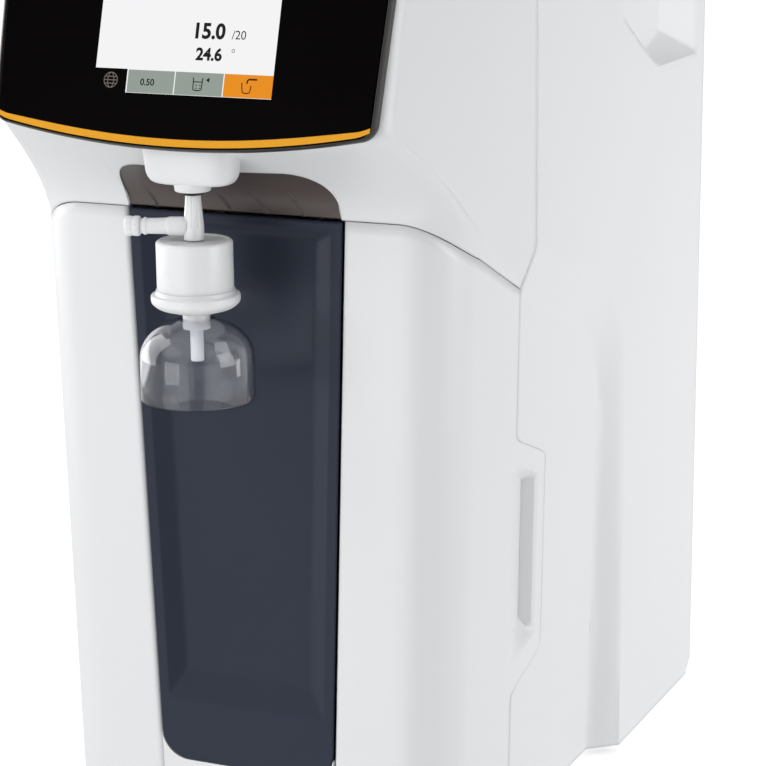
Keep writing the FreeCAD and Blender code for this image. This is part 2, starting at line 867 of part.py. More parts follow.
def make_pins():
    low = plinth_height + seam_gap
    high = seam_height - seam_gap
    under = hinge_rod(foot_height + wall, low + hinge_pin_length - seam_gap, hinge_pin_radius)
    over = hinge_rod(high - hinge_pin_length + seam_gap, seam_height + hinge_pin_length - seam_gap,
                     hinge_pin_radius)
    return Part.makeCompound([s for pin in (under, over) for s in both(pin)])


def bay_outline(grow, top, y):
    """The bay panel's outline with round lower corners."""
    low = bay_bottom - grow
    radius = bay_corner + grow
    points = [V(-bay_half(top) - grow, y, top), V(bay_half(top) + grow, y, top),
              V(bay_half(low) + grow, y, low), V(-bay_half(low) - grow, y, low)]
    return points, radius


def bay_plate(grow, top, y0, y1):
    points, radius = bay_outline(grow, top, y0)
    slab = prism(points, V(0, y1 - y0, 0))
    low = points[2].z
    corners = [e for e in slab.Edges if abs(e.Vertexes[0].Z - low) < seat and abs(e.Vertexes[-1].Z - low) < seat
               and abs(e.Vertexes[0].X - e.Vertexes[-1].X) < seat]
    return slab.makeFillet(radius, corners)


def bay_tray(grow, y0, y1):
    """The shallow recess of the bay as a loft that narrows towards its floor."""
    wires = []
    top = seam_height - bay_rim + grow
    for y, slope_share in ((y0, -y0 / bay_recess * -1), (y1, y1 / bay_recess)):
        side = bay_rim + bay_slope * slope_share - grow
        low = bay_sill_height + bay_sill_slope * slope_share - grow
        high = top - bay_rim * slope_share
        points = [V(-bay_half(high) + side, y, high), V(bay_half(high) - side, y, high),
                  V(bay_half(low) - side, y, low), V(-bay_half(low) + side, y, low)]
        wires.append(Part.makePolygon(points + points[:1]))
    return Part.makeLoft(wires, True, True)


def make_bay():
    top = seam_height - seam_gap
    plate = bay_plate(-seam_gap / 2, top, 0, wall)
    backing = bay_tray(bay_skin, 0, bay_recess + bay_skin)
    backing = backing.common(box(-body_width, body_width, 0, bay_recess + bay_skin, 0, seam_height))
    return plate.fuse(backing).cut(bay_tray(0, -seat, bay_recess))


def make_sill():
    low = plinth_height + seam_gap / 2
    high = bay_bottom + bay_corner
    slab = prism([V(-bay_half(high), 0, high), V(bay_half(high), 0, high),
                  V(bay_half(low), 0, low), V(-bay_half(low), 0, low)], V(0, wall, 0))
    return slab.cut(bay_plate(seat, seam_height, -overrun, overrun))


def arch_block(inset, low, high):
    """The arched opening under the head as an upright block."""
    half = arch_half_width - inset
    return rounded_plan(-half, half, inset - arch_reach, arch_reach + arch_corner, arch_corner - inset, low, high)


def make_liner():
    """Ribbed liner behind the arched opening, following the hood's own curve."""
    back = side_seam_depth + overrun
    front = wall + liner_gap
    room = box(-arch_half_width - wall, arch_half_width + wall, -arch_reach - wall, front_corner,
               seam_height - wall, rim_low + overrun)
    room = room.cut(seam_cut(seat, side_seam_height, front_corner + overrun))
    face = hood_block(front, back).common(room)
    skin = face.cut(hood_block(front + liner_skin, back + overrun))
    boss = hinge_rod(seam_height - overrun, seam_height + hinge_pin_length + 2 * wall, hinge_boss + 2 * seat)
    skin = skin.cut(both(boss))
    proud = hood_block(front - liner_rib_height, back - overrun).common(arch_block(seat, seam_height, rim_low))
    ribs = []
    low = seam_height + seat
    lean = (rim_low - low) * liner_rib_lean_share
    for index in range(liner_rib_count):
        x0 = liner_rib_start + index * liner_rib_pitch - liner_rib_width / 2
        x1 = x0 + liner_rib_width
        rib = prism([V(x0, -arch_reach, low), V(x1, -arch_reach, low), V(x1 - lean, -arch_reach, rim_low),
                     V(x0 - lean, -arch_reach, rim_low)], V(0, arch_reach + front_corner, 0))
        ribs.append(rib.common(proud).cut(hood_block(front + seat, back)))
    return fuse([skin] + ribs)


def make_outlet():
    body = outlet_boss_body(0)
    low_edges = [e for e in body.Edges if max(v.Z for v in e.Vertexes) < outlet_boss_low + seat
                 and e.BoundBox.ZMax < outlet_boss_low + seat]
    body = body.makeFillet(outlet_boss_round, low_edges)
    ring = rod(0, outlet_depth, outlet_ring_low, outlet_boss_low + outlet_boss_round, outlet_ring_radius)
    neck = rod(0, outlet_depth, outlet_boss_high - wall, outlet_neck_high, outlet_neck_radius)
    stub = rod_back(0, outlet_hose_height, outlet_depth, outlet_depth + outlet_neck_radius + outlet_stub_length,
                    outlet_stub_radius)
    boss = fuse([body, ring, neck, stub])
    socket = rod(0, outlet_depth, outlet_ring_low - overrun, outlet_ring_low + spigot_length + seat,
                 spigot_radius + spigot_running)
    return boss.cut(socket)


def make_capsule():
    """Filter capsule: neck, body, collar and spout, from the top down."""
    low_neck = capsule_top + close_seat
    profile = [(0, low_neck), (neck_low_radius, low_neck), (neck_low_radius, mix(capsule_top, neck_top, 0.3)),
               (neck_top_radius, neck_top), (spigot_radius, neck_top),
               (spigot_radius, outlet_ring_low + spigot_length), (0, outlet_ring_low + spigot_length)]
    neck = turned(profile, 0, outlet_depth)
    for index in range(neck_flute_count):
        turn = 2 * math.pi * index / neck_flute_count
        x = neck_low_radius * math.cos(turn)
        y = outlet_depth + neck_low_radius * math.sin(turn)
        end_x = neck_top_radius * math.cos(turn)
        end_y = outlet_depth + neck_top_radius * math.sin(turn)
        start = V(x, y, mix(capsule_top, neck_top, 0.3))
        run = V(end_x, end_y, neck_top - neck_flute_radius) - start
        neck = neck.cut(Part.makeCylinder(neck_flute_radius, run.Length, start, run))
    keep("capsule_neck", neck)
    ring_z = outlet_ring_low - o_ring_section - close_seat / 2
    ring = Part.makeTorus(spigot_radius + o_ring_section + spigot_running, o_ring_section,
                          V(0, outlet_depth, ring_z), V(0, 0, 1))
    keep("outlet_o_ring", ring)
    body = rod(0, outlet_depth, collar_top, capsule_top, capsule_radius)
    top_edge = [e for e in body.Edges if e.BoundBox.ZMin > capsule_top - seat]
    keep("capsule_body", body.makeFillet(capsule_round, top_edge))
    collar_low = collar_top - collar_height
    ledge = mix(collar_low, collar_top, 0.35)
    collar = turned([(0, collar_low - collar_cone), (spout_hub_radius, collar_low - collar_cone),
                     (mix(spout_hub_radius, collar_radius, 0.8), collar_low), (collar_radius, ledge),
                     (collar_radius, collar_top - seat), (collar_radius - seat, collar_top),
                     (0, collar_top)], 0, outlet_depth)
    keep("capsule_collar", collar)
    hub_top = collar_low - collar_cone
    spout = turned([(spout_bore, spout_low), (spout_radius, spout_low), (spout_radius, spout_hub_low),
                    (spout_hub_radius - bell_running, spout_hub_low), (spout_hub_radius - bell_running, hub_top),
                    (spout_bore, hub_top)], 0, outlet_depth)
    keep("outlet_spout", spout)
    turn = math.radians(vent_yaw)
    run = V(-math.cos(turn), -math.sin(turn), 0)
    centre = V(0, outlet_depth, vent_height)
    start = centre + run * (neck_low_radius - seat)
    arm = Part.makeCylinder(vent_radius, vent_reach - neck_low_radius + seat, start, run)
    post_at = centre + run * (capsule_radius * 0.6)
    post = rod(post_at.x, post_at.y, capsule_top + close_seat, vent_height, vent_post_radius)
    clear = rod(0, outlet_depth, capsule_top - overrun, neck_top, neck_low_radius + close_seat)
    tip = Part.makeCylinder(vent_radius * 0.6, vent_cap_length, centre + run * vent_reach, run)
    arm = fuse([arm, post, tip]).cut(clear)
    cap = Part.makeCylinder(vent_cap_radius, vent_cap_length, centre + run * (vent_reach + close_seat), run)
    hole = Part.makeCylinder(vent_radius * 0.6 + bell_running, vent_cap_length - wall / 2, centre + run * vent_reach,
                             run)
    tip_cut = Part.makeCylinder(vent_cap_radius * 2, vent_cap_length,
                                centre + run * (vent_reach + vent_cap_length - wall / 2 - close_seat), run)
    keep("vent_arm", arm.cut(tip_cut))
    ribs = []
    rib_count = 12
    side = run.cross(V(0, 0, 1))
    for index in range(rib_count):
        angle = 2 * math.pi * index / rib_count
        away = side * math.cos(angle) + V(0, 0, 1) * math.sin(angle)
        at = centre + run * (vent_reach - overrun) + away * (vent_cap_radius + seat)
        ribs.append(Part.makeCylinder(vent_cap_radius / 6, vent_cap_length + 2 * overrun, at, run))
    keep("vent_cap", cap.cut(hole).cut(ribs))


def make_bell():
    """Clear bell: an upright skirt, a domed top and a hub that grips the spout."""
    top = bell_shoulder + bell_dome
    steps = 8
    outer = []
    inner = []
    hub = spout_hub_radius
    for index in range(steps + 1):
        turn = index / steps * math.acos((hub + bell_skin) / bell_radius)
        outer.append((bell_radius * math.cos(turn), bell_shoulder + bell_dome * math.sin(turn)))
    inside = bell_radius - bell_skin
    for index in range(steps + 1):
        turn = index / steps * math.acos(hub / inside)
        inner.append((inside * math.cos(turn), bell_shoulder + (bell_dome - bell_skin) * math.sin(turn)))
    last = inner[-1][1]
    profile = [(bell_radius, bell_rim)] + outer + [(hub + bell_skin, outer[-1][1]), (hub, outer[-1][1]),
                                                   (hub, last)] + inner[::-1][1:] + [(inside, bell_rim)]
    clean = [profile[0]]
    for point in profile[1:]:
        if math.dist(point, clean[-1]) > seat / 10:
            clean.append(point)
    return turned(clean, 0, outlet_depth), top


def make_cartridge():
    """One purification cartridge: a ribbed can with a bayonet neck."""
    r = cartridge_radius
    round_steps = 4
    profile = [(0, cartridge_low)]
    for index in range(round_steps + 1):
        turn = index / round_steps * math.pi / 2
        profile.append((r - cartridge_round * (1 - math.sin(turn)),
                        cartridge_low + cartridge_round * (1 - math.cos(turn))))
    for index in range(round_steps + 1):
        turn = index / round_steps * math.pi / 2
        profile.append((r - cartridge_round * (1 - math.cos(turn)),
                        cartridge_high - cartridge_round * (1 - math.sin(turn))))
    top = cartridge_high + cartridge_neck_height
    profile += [(cartridge_neck_radius, cartridge_high), (cartridge_neck_radius, top), (0, top)]
    can = turned(profile, cartridge_x, cartridge_depth)
    bands = []
    for z in (cartridge_low + cartridge_round, cartridge_high - cartridge_round - cartridge_band_height):
        bands.append(rod(cartridge_x, cartridge_depth, z, z + cartridge_band_height, r + cartridge_band_proud))
    lug_z = top - cartridge_lug
    reach = cartridge_neck_radius + cartridge_lug
    lugs = box(cartridge_x - reach, cartridge_x + reach,
               cartridge_depth - cartridge_lug, cartridge_depth + cartridge_lug, lug_z, top)
    ring = rod(cartridge_x, cartridge_depth, lug_z, top, cartridge_neck_radius + cartridge_lug)
    return fuse([can] + bands + [lugs.common(ring)])


def make_cartridge_head():
    """Fixed head over a cartridge, carried by the bulkhead."""
    top = cartridge_high + cartridge_neck_height
    low = cartridge_high + seat
    outer = cartridge_neck_radius + cartridge_lug + cartridge_head_wall
    cup = rod(cartridge_x, cartridge_depth, low, low + cartridge_head_height, outer)
    arm = box(cartridge_x - head_bracket_half, cartridge_x + head_bracket_half, cartridge_depth,
              bulkhead_depth - close_seat, top + cartridge_lug, low + cartridge_head_height)
    cavity = rod(cartridge_x, cartridge_depth, low - overrun, top + seat,
                 cartridge_neck_radius + cartridge_lug + seat)
    return fuse([cup, arm]).cut(cavity)


def make_frame():
    """Folded inner frame: bulkhead, two webs behind the bay and a shelf."""
    low = plinth_height
    top = shelf_height
    shelf_top = top + frame_sheet
    pieces = [
        box(-bulkhead_half, bulkhead_half, bulkhead_depth, bulkhead_depth + frame_sheet, low, top),
        box(-shelf_half, shelf_half, bulkhead_depth - frame_flange, rear_plate_depth - close_seat, top, shelf_top),
        box(-bulkhead_half, bulkhead_half, bulkhead_depth, bulkhead_depth + frame_flange, low, low + frame_sheet),
    ]
    web_front = bay_recess + bay_skin + close_seat
    web = box(web_x, web_x + frame_sheet, web_front, bulkhead_depth + frame_sheet, low, seam_height - 3 * wall)
    ear = box(bulkhead_half - frame_sheet, bulkhead_half, tab_depth - magnet_depth - seam_gap,
              bulkhead_depth + frame_sheet, tab_low_corner, tab_high_corner)
    flange = box(bulkhead_half - frame_sheet, bulkhead_half, bulkhead_depth, bulkhead_depth + frame_flange, low, top)
    drop = box(-shelf_half, shelf_half, rear_plate_depth - close_seat - frame_sheet, rear_plate_depth - close_seat,
               shelf_top, shelf_top + frame_flange)
    for piece in (web, ear, flange):
        pieces += both(piece)
    hole = rod(0, manifold_centre_depth, top - overrun, shelf_top + overrun, hose_radius + seat)
    return fuse(pieces + [drop]).cut(hole)


def make_base():
    """Moulded base: its front rim shows as a plinth, its rear lies inside the housing."""
    front = lower_body(0, foot_height, plinth_height, side_seam_depth - seam_gap / 2)
    inside = toe_half_width - 1.4 * wall - close_seat
    rear = box(-inside, inside, side_seam_depth - overrun, rear_plate_depth - close_seat, foot_height, plinth_height)
    wide = half_width - wall - close_seat
    flank = box(-wide, wide, ramp_end_depth + 3 * wall + close_seat, rear_plate_depth - close_seat,
                foot_height, plinth_height)
    tray = fuse([front, rear, flank])
    tray = tray.cut(box(-inside + 2 * wall, inside - 2 * wall, bulkhead_depth + 2 * frame_flange,
                        rear_plate_depth - 2 * wall, foot_height + wall, plinth_height + overrun))
    pin = hinge_rod(foot_height + wall, plinth_height + overrun, hinge_pin_radius + hinge_running)
    return tray.cut(both(pin))


def make_feet():
    feet = []
    for x in (-foot_x, foot_x):
        for y in (foot_front, foot_back):
            feet.append(Part.makeCone(foot_radius - foot_draft, foot_radius, foot_height, V(x, y, 0)))
    return Part.makeCompound(feet)


def make_machine():
    """Pump, lamp chamber, supply, manifold, cells, valve and leak sensor."""
    floor = foot_height + wall + close_seat
    axis_z = floor + pump_foot + pump_radius
    motor = rod_back(pump_x, axis_z, pump_depth, pump_depth + pump_length, pump_radius)
    head = rod_back(pump_x, axis_z, pump_depth + pump_length, pump_depth + pump_length + pump_head_length,
                    pump_radius * 0.86)
    cradle = box(pump_x - pump_radius * 0.8, pump_x + pump_radius * 0.8, pump_depth, pump_depth + pump_length,
                 floor, axis_z - pump_radius * 0.5)
    port_y = pump_depth + pump_length + pump_head_length / 2
    port = rod(pump_x, port_y, axis_z, axis_z + pump_radius + port_stub_length, port_stub_radius)
    keep("feed_pump", fuse([motor, head, cradle, port]))
    make_hoses(port_y, axis_z + pump_radius)

    uv_low = floor
    uv_high = uv_low + uv_length
    tube = rod(uv_x, uv_depth, uv_low, uv_high, uv_radius)
    hollow = rod(uv_x, uv_depth, uv_low + uv_cap_height, uv_high - uv_cap_height, uv_radius - uv_skin)
    lamp_hole = rod(uv_x, uv_depth, uv_low + uv_cap_height / 2, uv_high + overrun, uv_lamp_radius + close_seat)
    clamp = box(uv_x - uv_clamp_width / 2, uv_x + uv_clamp_width / 2,
                bulkhead_depth + frame_sheet + close_seat, uv_depth - uv_radius * 0.9,
                mix(uv_low, uv_high, 0.5), mix(uv_low, uv_high, 0.5) + 2 * uv_clamp_width)
    keep("uv_chamber", fuse([tube, clamp]).cut(hollow).cut(lamp_hole))
    lamp = rod(uv_x, uv_depth, uv_low + uv_cap_height / 2, uv_high + uv_end_gap, uv_lamp_radius)
    keep("uv_lamp", lamp)

    shelf_top = shelf_height + frame_sheet + close_seat
    supply = box(-supply_width / 2, supply_width / 2, bulkhead_depth + supply_setback,
                 bulkhead_depth + supply_setback + supply_depth, shelf_top, shelf_top + supply_height)
    slots = []
    slot_pitch = supply_depth / 9
    for index in range(1, 8):
        y = bulkhead_depth + supply_setback + index * slot_pitch
        slots.append(box(-supply_width / 3, supply_width / 3, y, y + slot_pitch / 3,
                         shelf_top + supply_height - wall / 2, shelf_top + supply_height + overrun))
    keep("power_supply", supply.cut(slots))

    back = bulkhead_depth + frame_sheet + close_seat
    top = manifold_low + manifold_height
    block = box(-manifold_width / 2, manifold_width / 2, back, back + manifold_depth, manifold_low, top)
    stubs = [rod(0, manifold_centre_depth, manifold_low + manifold_height / 2, top + port_stub_length,
                 port_stub_radius),
             rod(manifold_port_x, manifold_centre_depth, manifold_low - port_stub_length,
                 manifold_low + manifold_height / 2, port_stub_radius)]
    keep("manifold_block", fuse([block] + stubs))
    cells = []
    for x in (-cell_spacing / 2, cell_spacing / 2):
        cells.append(rod(x, back + manifold_depth / 2, manifold_low + manifold_height + close_seat,
                         manifold_low + manifold_height + cell_length, cell_radius))
    keep("conductivity_cells", Part.makeCompound(cells))
    valve_back = back + manifold_depth + close_seat
    valve = box(-valve_width / 2, valve_width / 2, valve_back, valve_back + valve_width / 2,
                manifold_low, manifold_low + valve_height)
    coil = rod_back(0, manifold_low + valve_height / 2, valve_back + valve_width / 2, valve_back + 1.4 * valve_width,
                    valve_coil_radius)
    keep("dispense_valve", fuse([valve, coil]))
    sensor = rod(0, bulkhead_depth + 3 * frame_flange, floor, floor + leak_height, leak_radius)
    keep("leak_sensor", sensor)


def hose(points, bends):
    """A tube along straight runs that are joined by tangent arcs."""
    edges = []
    start = points[0]
    for index, bend in enumerate(bends):
        corner = points[index + 1]
        back = (points[index] - corner).normalize()
        ahead = (points[index + 2] - corner).normalize()
        half = back.getAngle(ahead) / 2
        reach = bend / math.tan(half)
        middle = (back + ahead).normalize()
        first = corner + back * reach
        last = corner + ahead * reach
        top = corner + middle * (bend / math.sin(half) - bend)
        edges.append(Part.LineSegment(start, first).toShape())
        edges.append(Part.Arc(first, top, last).toShape())
        start = last
    edges.append(Part.LineSegment(start, points[-1]).toShape())
    path = Part.Wire(edges)
    run = (points[1] - points[0]).normalize()
    skins = []
    for radius in (hose_radius, hose_bore):
        ring = Part.Wire([Part.makeCircle(radius, points[0], run)])
        skins.append(path.makePipeShell([ring], True, False))
    return skins[0].cut(skins[1])


def make_hoses(pump_port_depth, pump_top):
    """Three hoses: outlet to manifold, inlet fitting to pump and manifold to drain fitting."""
    start = outlet_depth + outlet_neck_radius + seat
    top = manifold_low + manifold_height + seat
    down = V(0, manifold_centre_depth, top)
    corner = V(0, manifold_centre_depth, outlet_hose_height)
    keep("outlet_hose", hose([V(0, start, outlet_hose_height), corner, down], [hose_bend]))
    inside = rear_plate_depth + rear_plate - fitting_inside - seat
    turn = inside - pump_hose_setback
    high = pump_top + pump_hose_rise
    points = [V(fitting_x, inside, fitting_z), V(fitting_x, turn, fitting_z), V(fitting_x, turn, high),
              V(pump_x, pump_port_depth, high), V(pump_x, pump_port_depth, pump_top + seat)]
    keep("feed_hose", hose(points, [hose_tight_bend] * 3))
    x = fitting_x + fitting_spacing
    turn = inside - drain_hose_setback
    low = manifold_low - seat
    points = [V(x, inside, fitting_z), V(x, turn, fitting_z),
              V(manifold_port_x, manifold_centre_depth, low - drain_hose_drop),
              V(manifold_port_x, manifold_centre_depth, low)]
    keep("drain_hose", hose(points, [hose_tight_bend] * 2))


def make_rear_panel():
    low = foot_height
    inside = half_width - wall - close_seat
    y0 = rear_plate_depth
    y1 = y0 + rear_plate
    plate = box(-inside, inside, y0, y1, low, body_height - wall - top_round / 3 - close_seat)
    cutters = [box(inlet_x - inlet_width / 2 - seat, inlet_x + inlet_width / 2 + seat, y0 - overrun, y1 + overrun,
                   inlet_z - rocker_drop - inlet_height / 2 - seat, inlet_z + inlet_height / 2 + seat),
               box(fitting_x - port_width / 2 - seat, fitting_x + port_width / 2 + seat, y0 - overrun,
                   y1 + overrun, port_z - port_height / 2 - seat, port_z + port_height / 2 + seat)]
    for step in (0, fitting_spacing):
        cutters.append(rod_back(fitting_x + step, fitting_z, y0 - overrun, y1 + overrun, fitting_radius + seat))
    slot_count = 9
    slot_gap = 3 * wall
    for index in range(slot_count):
        z = mix(shelf_height, body_height, 0.35) + index * slot_gap
        cutters.append(box(-supply_width / 2, supply_width / 2, y0 - overrun, y1 + overrun, z, z + wall))
    for x, z in screw_places():
        cutters.append(rod_back(x, z, y0 - overrun, y1 + overrun, screw_radius + seat))
    cutters += both(grip_pocket(grip_skin + seat))
    keep("rear_panel", plate.cut(cutters))

    screws = []
    for x, z in screw_places():
        head = rod_back(x, z, y1, y1 + screw_head_height, screw_head_radius)
        shank = rod_back(x, z, y1 - screw_length, y1 + screw_head_height, screw_radius)
        screws.append(fuse([head, shank]))
    keep("rear_panel_screws", Part.makeCompound(screws))


def screw_places():
    """Places of the rear panel's screws."""
    side = half_width - wall - screw_inset
    low = foot_height + wall + screw_inset
    high = body_height - 2 * wall - screw_inset
    return [(x, z) for x in (-side, side) for z in (low, mix(low, high, 0.5), high)]


def rocker_shaft(y, z, radius):
    """The rocker's trunnions as one bar through it."""
    length = rocker_width + wall
    return Part.makeCylinder(radius, length, V(inlet_x - length / 2, y, z), V(1, 0, 0))


def make_inlet():
    """Mains inlet with its blades, and the rocker switch under it."""
    y1 = rear_plate_depth + rear_plate
    rocker_z = inlet_z - rocker_drop
    flange = box(inlet_x - inlet_flange_width / 2, inlet_x + inlet_flange_width / 2, y1 + close_seat,
                 y1 + inlet_proud, inlet_z - inlet_flange_height * 0.68, inlet_z + inlet_flange_height * 0.32)
    body = box(inlet_x - inlet_width / 2, inlet_x + inlet_width / 2, y1 - inlet_body, y1 + inlet_proud,
               rocker_z - inlet_height / 2, inlet_z + inlet_height / 2)
    socket = box(inlet_x - inlet_socket_width / 2, inlet_x + inlet_socket_width / 2,
                 y1 + inlet_proud - inlet_socket_depth, y1 + overrun, inlet_z - inlet_socket_height / 2,
                 inlet_z + inlet_socket_height / 2)
    well = box(inlet_x - rocker_width / 2 - seat, inlet_x + rocker_width / 2 + seat,
               y1 + inlet_proud - rocker_depth - 2 * wall, y1 + overrun,
               rocker_z - rocker_height / 2 - rocker_gap, rocker_z + rocker_height / 2 + rocker_gap)
    blades = []
    for x, z in ((-inlet_blade_spacing, -inlet_blade_spacing / 4), (0, inlet_blade_spacing / 4),
                 (inlet_blade_spacing, -inlet_blade_spacing / 4)):
        blades.append(box(inlet_x + x - inlet_blade_width / 2, inlet_x + x + inlet_blade_width / 2,
                          y1 + inlet_proud - inlet_socket_depth - wall / 2,
                          y1 + inlet_proud - inlet_socket_depth + inlet_blade_length,
                          inlet_z + z - inlet_blade_height / 2, inlet_z + z + inlet_blade_height / 2))
    axis_y = y1 + inlet_proud - rocker_depth
    shaft_hole = rocker_shaft(axis_y, rocker_z, wall / 2 + rocker_running)
    module = fuse([flange, body]).cut([socket, well, shaft_hole])
    keep("mains_inlet", module.cut(blades))
    keep("inlet_blades", Part.makeCompound(blades))
    face = y1 + inlet_proud + rocker_proud
    half = rocker_height / 2
    profile = [(axis_y - wall, rocker_z), (axis_y, rocker_z - half * 0.8), (face, rocker_z - half * 0.9),
               (face - rocker_proud, rocker_z), (face, rocker_z + half * 0.9), (axis_y, rocker_z + half * 0.8)]
    rocker = side_prism(profile, inlet_x - rocker_width / 2, inlet_x + rocker_width / 2)
    rocker = fuse([rocker, rocker_shaft(axis_y, rocker_z, wall / 2)])
    rocker.rotate(V(inlet_x, axis_y, rocker_z), V(1, 0, 0), rocker_tilt)
    keep("mains_rocker", rocker)


def make_fittings():
    y1 = rear_plate_depth + rear_plate
    for name, step in (("feed_fitting", 0), ("drain_fitting", fitting_spacing)):
        x = fitting_x + step
        barrel = rod_back(x, fitting_z, y1 - fitting_inside, y1 + fitting_proud, fitting_radius)
        nut = prism([V(x + fitting_nut_radius * math.cos(math.pi * k / 3), y1 + close_seat,
                       fitting_z + fitting_nut_radius * math.sin(math.pi * k / 3)) for k in range(6)],
                    V(0, fitting_nut_height, 0))
        bore = rod_back(x, fitting_z, y1 + fitting_proud - fitting_bore_length, y1 + fitting_proud + overrun,
                        fitting_bore)
        stub = rod_back(x, fitting_z, y1 - fitting_inside - port_stub_length, y1 - fitting_inside + wall,
                        port_stub_radius)
        keep(name, fuse([barrel, nut, stub]).cut(bore))
    port = box(fitting_x - port_width / 2, fitting_x + port_width / 2, y1 - port_depth, y1 + seat,
               port_z - port_height / 2, port_z + port_height / 2)
    socket = box(fitting_x - port_width / 3, fitting_x + port_width / 3, y1 - port_depth + wall, y1 + overrun,
                 port_z - port_height / 3, port_z + port_height / 3)
    lip = box(fitting_x - port_width * 0.6, fitting_x + port_width * 0.6, y1 + close_seat, y1 + wall / 2,
              port_z - port_height * 0.6, port_z + port_height * 0.6)
    keep("data_port", fuse([port, lip]).cut(socket))


keep("hood", make_hood())
keep("rear_housing", make_rear_housing())
keep("base_tray", make_base())
keep("rubber_feet", make_feet())
door = make_door()
keep("right_door", door)
keep("left_door", mirrored(door))
plate, magnet = make_catches()
keep("right_catch_plate", plate)
keep("left_catch_plate", mirrored(plate))
keep("door_magnets", Part.makeCompound(list(both(magnet))))
keep("hinge_pins", make_pins())
keep("bay_panel", make_bay())
keep("front_sill", make_sill())
keep("recess_liner", make_liner())
keep("outlet_boss", make_outlet())
make_capsule()
bell, bell_top = make_bell()
keep("dispense_bell", bell)
make_display()
make_board()
cartridge = make_cartridge()
keep("polishing_cartridge", cartridge)
keep("softening_cartridge", mirrored(cartridge))
head = make_cartridge_head()
keep("polishing_head", head)
keep("softening_head", mirrored(head))
keep("inner_frame", make_frame())
make_machine()
make_rear_panel()
make_inlet()
make_fittings()
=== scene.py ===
# %% [markdown]
# # An ultrapure water dispenser for the lab bench
# The machine is a tall white housing with a tilted touch display. Under the display hangs a
# filter capsule with a clear bell, in front of a slate-grey bay. Two doors wrap round the
# front corners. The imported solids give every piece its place. This lesson dresses them with
# surfaces worked out from formulas, and with materials made of nodes.

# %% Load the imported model
import math
import bmesh
import bpy
import numpy as np
from mathutils import Matrix


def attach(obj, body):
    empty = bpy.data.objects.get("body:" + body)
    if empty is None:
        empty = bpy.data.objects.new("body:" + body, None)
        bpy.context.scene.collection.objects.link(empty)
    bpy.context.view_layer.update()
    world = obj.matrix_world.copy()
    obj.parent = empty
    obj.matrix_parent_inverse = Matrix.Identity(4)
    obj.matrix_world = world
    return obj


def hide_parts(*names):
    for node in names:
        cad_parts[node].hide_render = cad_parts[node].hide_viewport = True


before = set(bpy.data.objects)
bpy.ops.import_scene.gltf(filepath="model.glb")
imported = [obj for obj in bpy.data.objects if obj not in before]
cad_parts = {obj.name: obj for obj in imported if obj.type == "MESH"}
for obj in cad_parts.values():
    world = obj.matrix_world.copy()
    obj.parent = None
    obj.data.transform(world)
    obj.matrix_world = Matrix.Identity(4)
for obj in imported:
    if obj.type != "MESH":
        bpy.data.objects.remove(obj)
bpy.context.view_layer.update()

# %% [markdown]
# Sizes are written in millimetres, with the front face of the doors at depth 0, because the
# real drawings of such a housing start there. One helper moves points into the model's frame
# and turns them into metres.

# %% Sizes of the housing
FRONT = -167.0
SEAM_Z, WAIST, TOE, FOOT = 390.0, 131.3, 122.6, 6.0
CORNER, WALL, GAP = 33.0, 3.0, 0.6
FULL, TOP, SIDE_SEAM, REAR = 140.0, 560.0, 98.0, 410.0
FRONT_HALF, HEAD_HALF, HEAD_CORNER = 98.3, 117.0, 13.0
SHOULDER, EDGE = 550.0, 10.0
RIM_LOW, RIM_RISE, RIM_CORNER, RIM_SIDE, COVE_POWER = 434.4, 8.6, 445.0, 364.0, 1.8
ARCH_HALF, ARCH_FLAT, ARCH_ROUND = 65.6, 41.6, 24.0
AXIS_Y = -45.0
FACE_Y, FACE_Z = -55.9, 461.2
GLASS_HALF, GLASS_RISE, GLASS_FOOT, GLASS_DEPTH = 110.5, 11.4, 28.0, 0.25
TILT = math.radians(16.6)
SIN, COS = math.sin(TILT), math.cos(TILT)


def to_metres(points):
    """Adds the front's offset to the depths and divides millimetres by 1000."""
    moved = np.array(points, dtype=float)
    moved[..., 1] += FRONT
    return moved * 0.001


def mix(a, b, share):
    """Straight-line blend: a at share 0 and b at share 1."""
    return a + (b - a) * share


def lower_half(z):
    """Half width of the lower body, which narrows in a straight line towards the floor."""
    return mix(TOE, WAIST, (np.minimum(z, SEAM_Z) - FOOT) / (SEAM_Z - FOOT))


def bay_half(z):
    """Half width of the bay, which narrows towards the floor too."""
    return 55.2 + 10.6 * (z - 80.0) / 310.0


# %% [markdown]
# Every new surface is a grid of points. The helper below joins neighbours into quads, merges
# points that fall together at poles and seams, and can close the grid round on itself.

# %% From grids to meshes
def grid_quads(rows, columns, wrap=False):
    """Quads between neighbours of a grid whose point (i, j) has number i * columns + j."""
    i = np.arange(rows if wrap else rows - 1)[:, None]
    j = np.arange(columns - 1)[None, :]
    a = i * columns + j
    b = ((i + 1) % rows) * columns + j
    return np.stack([a, b, b + 1, a + 1], axis=-1).reshape(-1, 4)


def make_piece(name, points, quads, body, finish, stands_for=(), wall=0.0, sharp=38.0):
    """Puts points and faces into a mesh, merges doubles and shades it smooth up to an angle."""
    mesh = bpy.data.meshes.new(name)
    mesh.from_pydata(to_metres(points).reshape(-1, 3).tolist(), [], quads.tolist())
    work = bmesh.new()
    work.from_mesh(mesh)
    bmesh.ops.remove_doubles(work, verts=work.verts, dist=2e-6)
    work.to_mesh(mesh)
    work.free()
    mesh.polygons.foreach_set("use_smooth", np.ones(len(mesh.polygons), dtype=bool))
    mesh.set_sharp_from_angle(angle=math.radians(sharp))
    piece = bpy.data.objects.new(name, mesh)
    bpy.context.scene.collection.objects.link(piece)
    mesh.materials.append(finish)
    if wall:
        thick = piece.modifiers.new("wall", "SOLIDIFY")
        thick.thickness = wall * 0.001
        thick.offset = -1
        thick.use_even_offset = True
    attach(piece, body)
    if stands_for:
        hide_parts(*stands_for)
    return piece


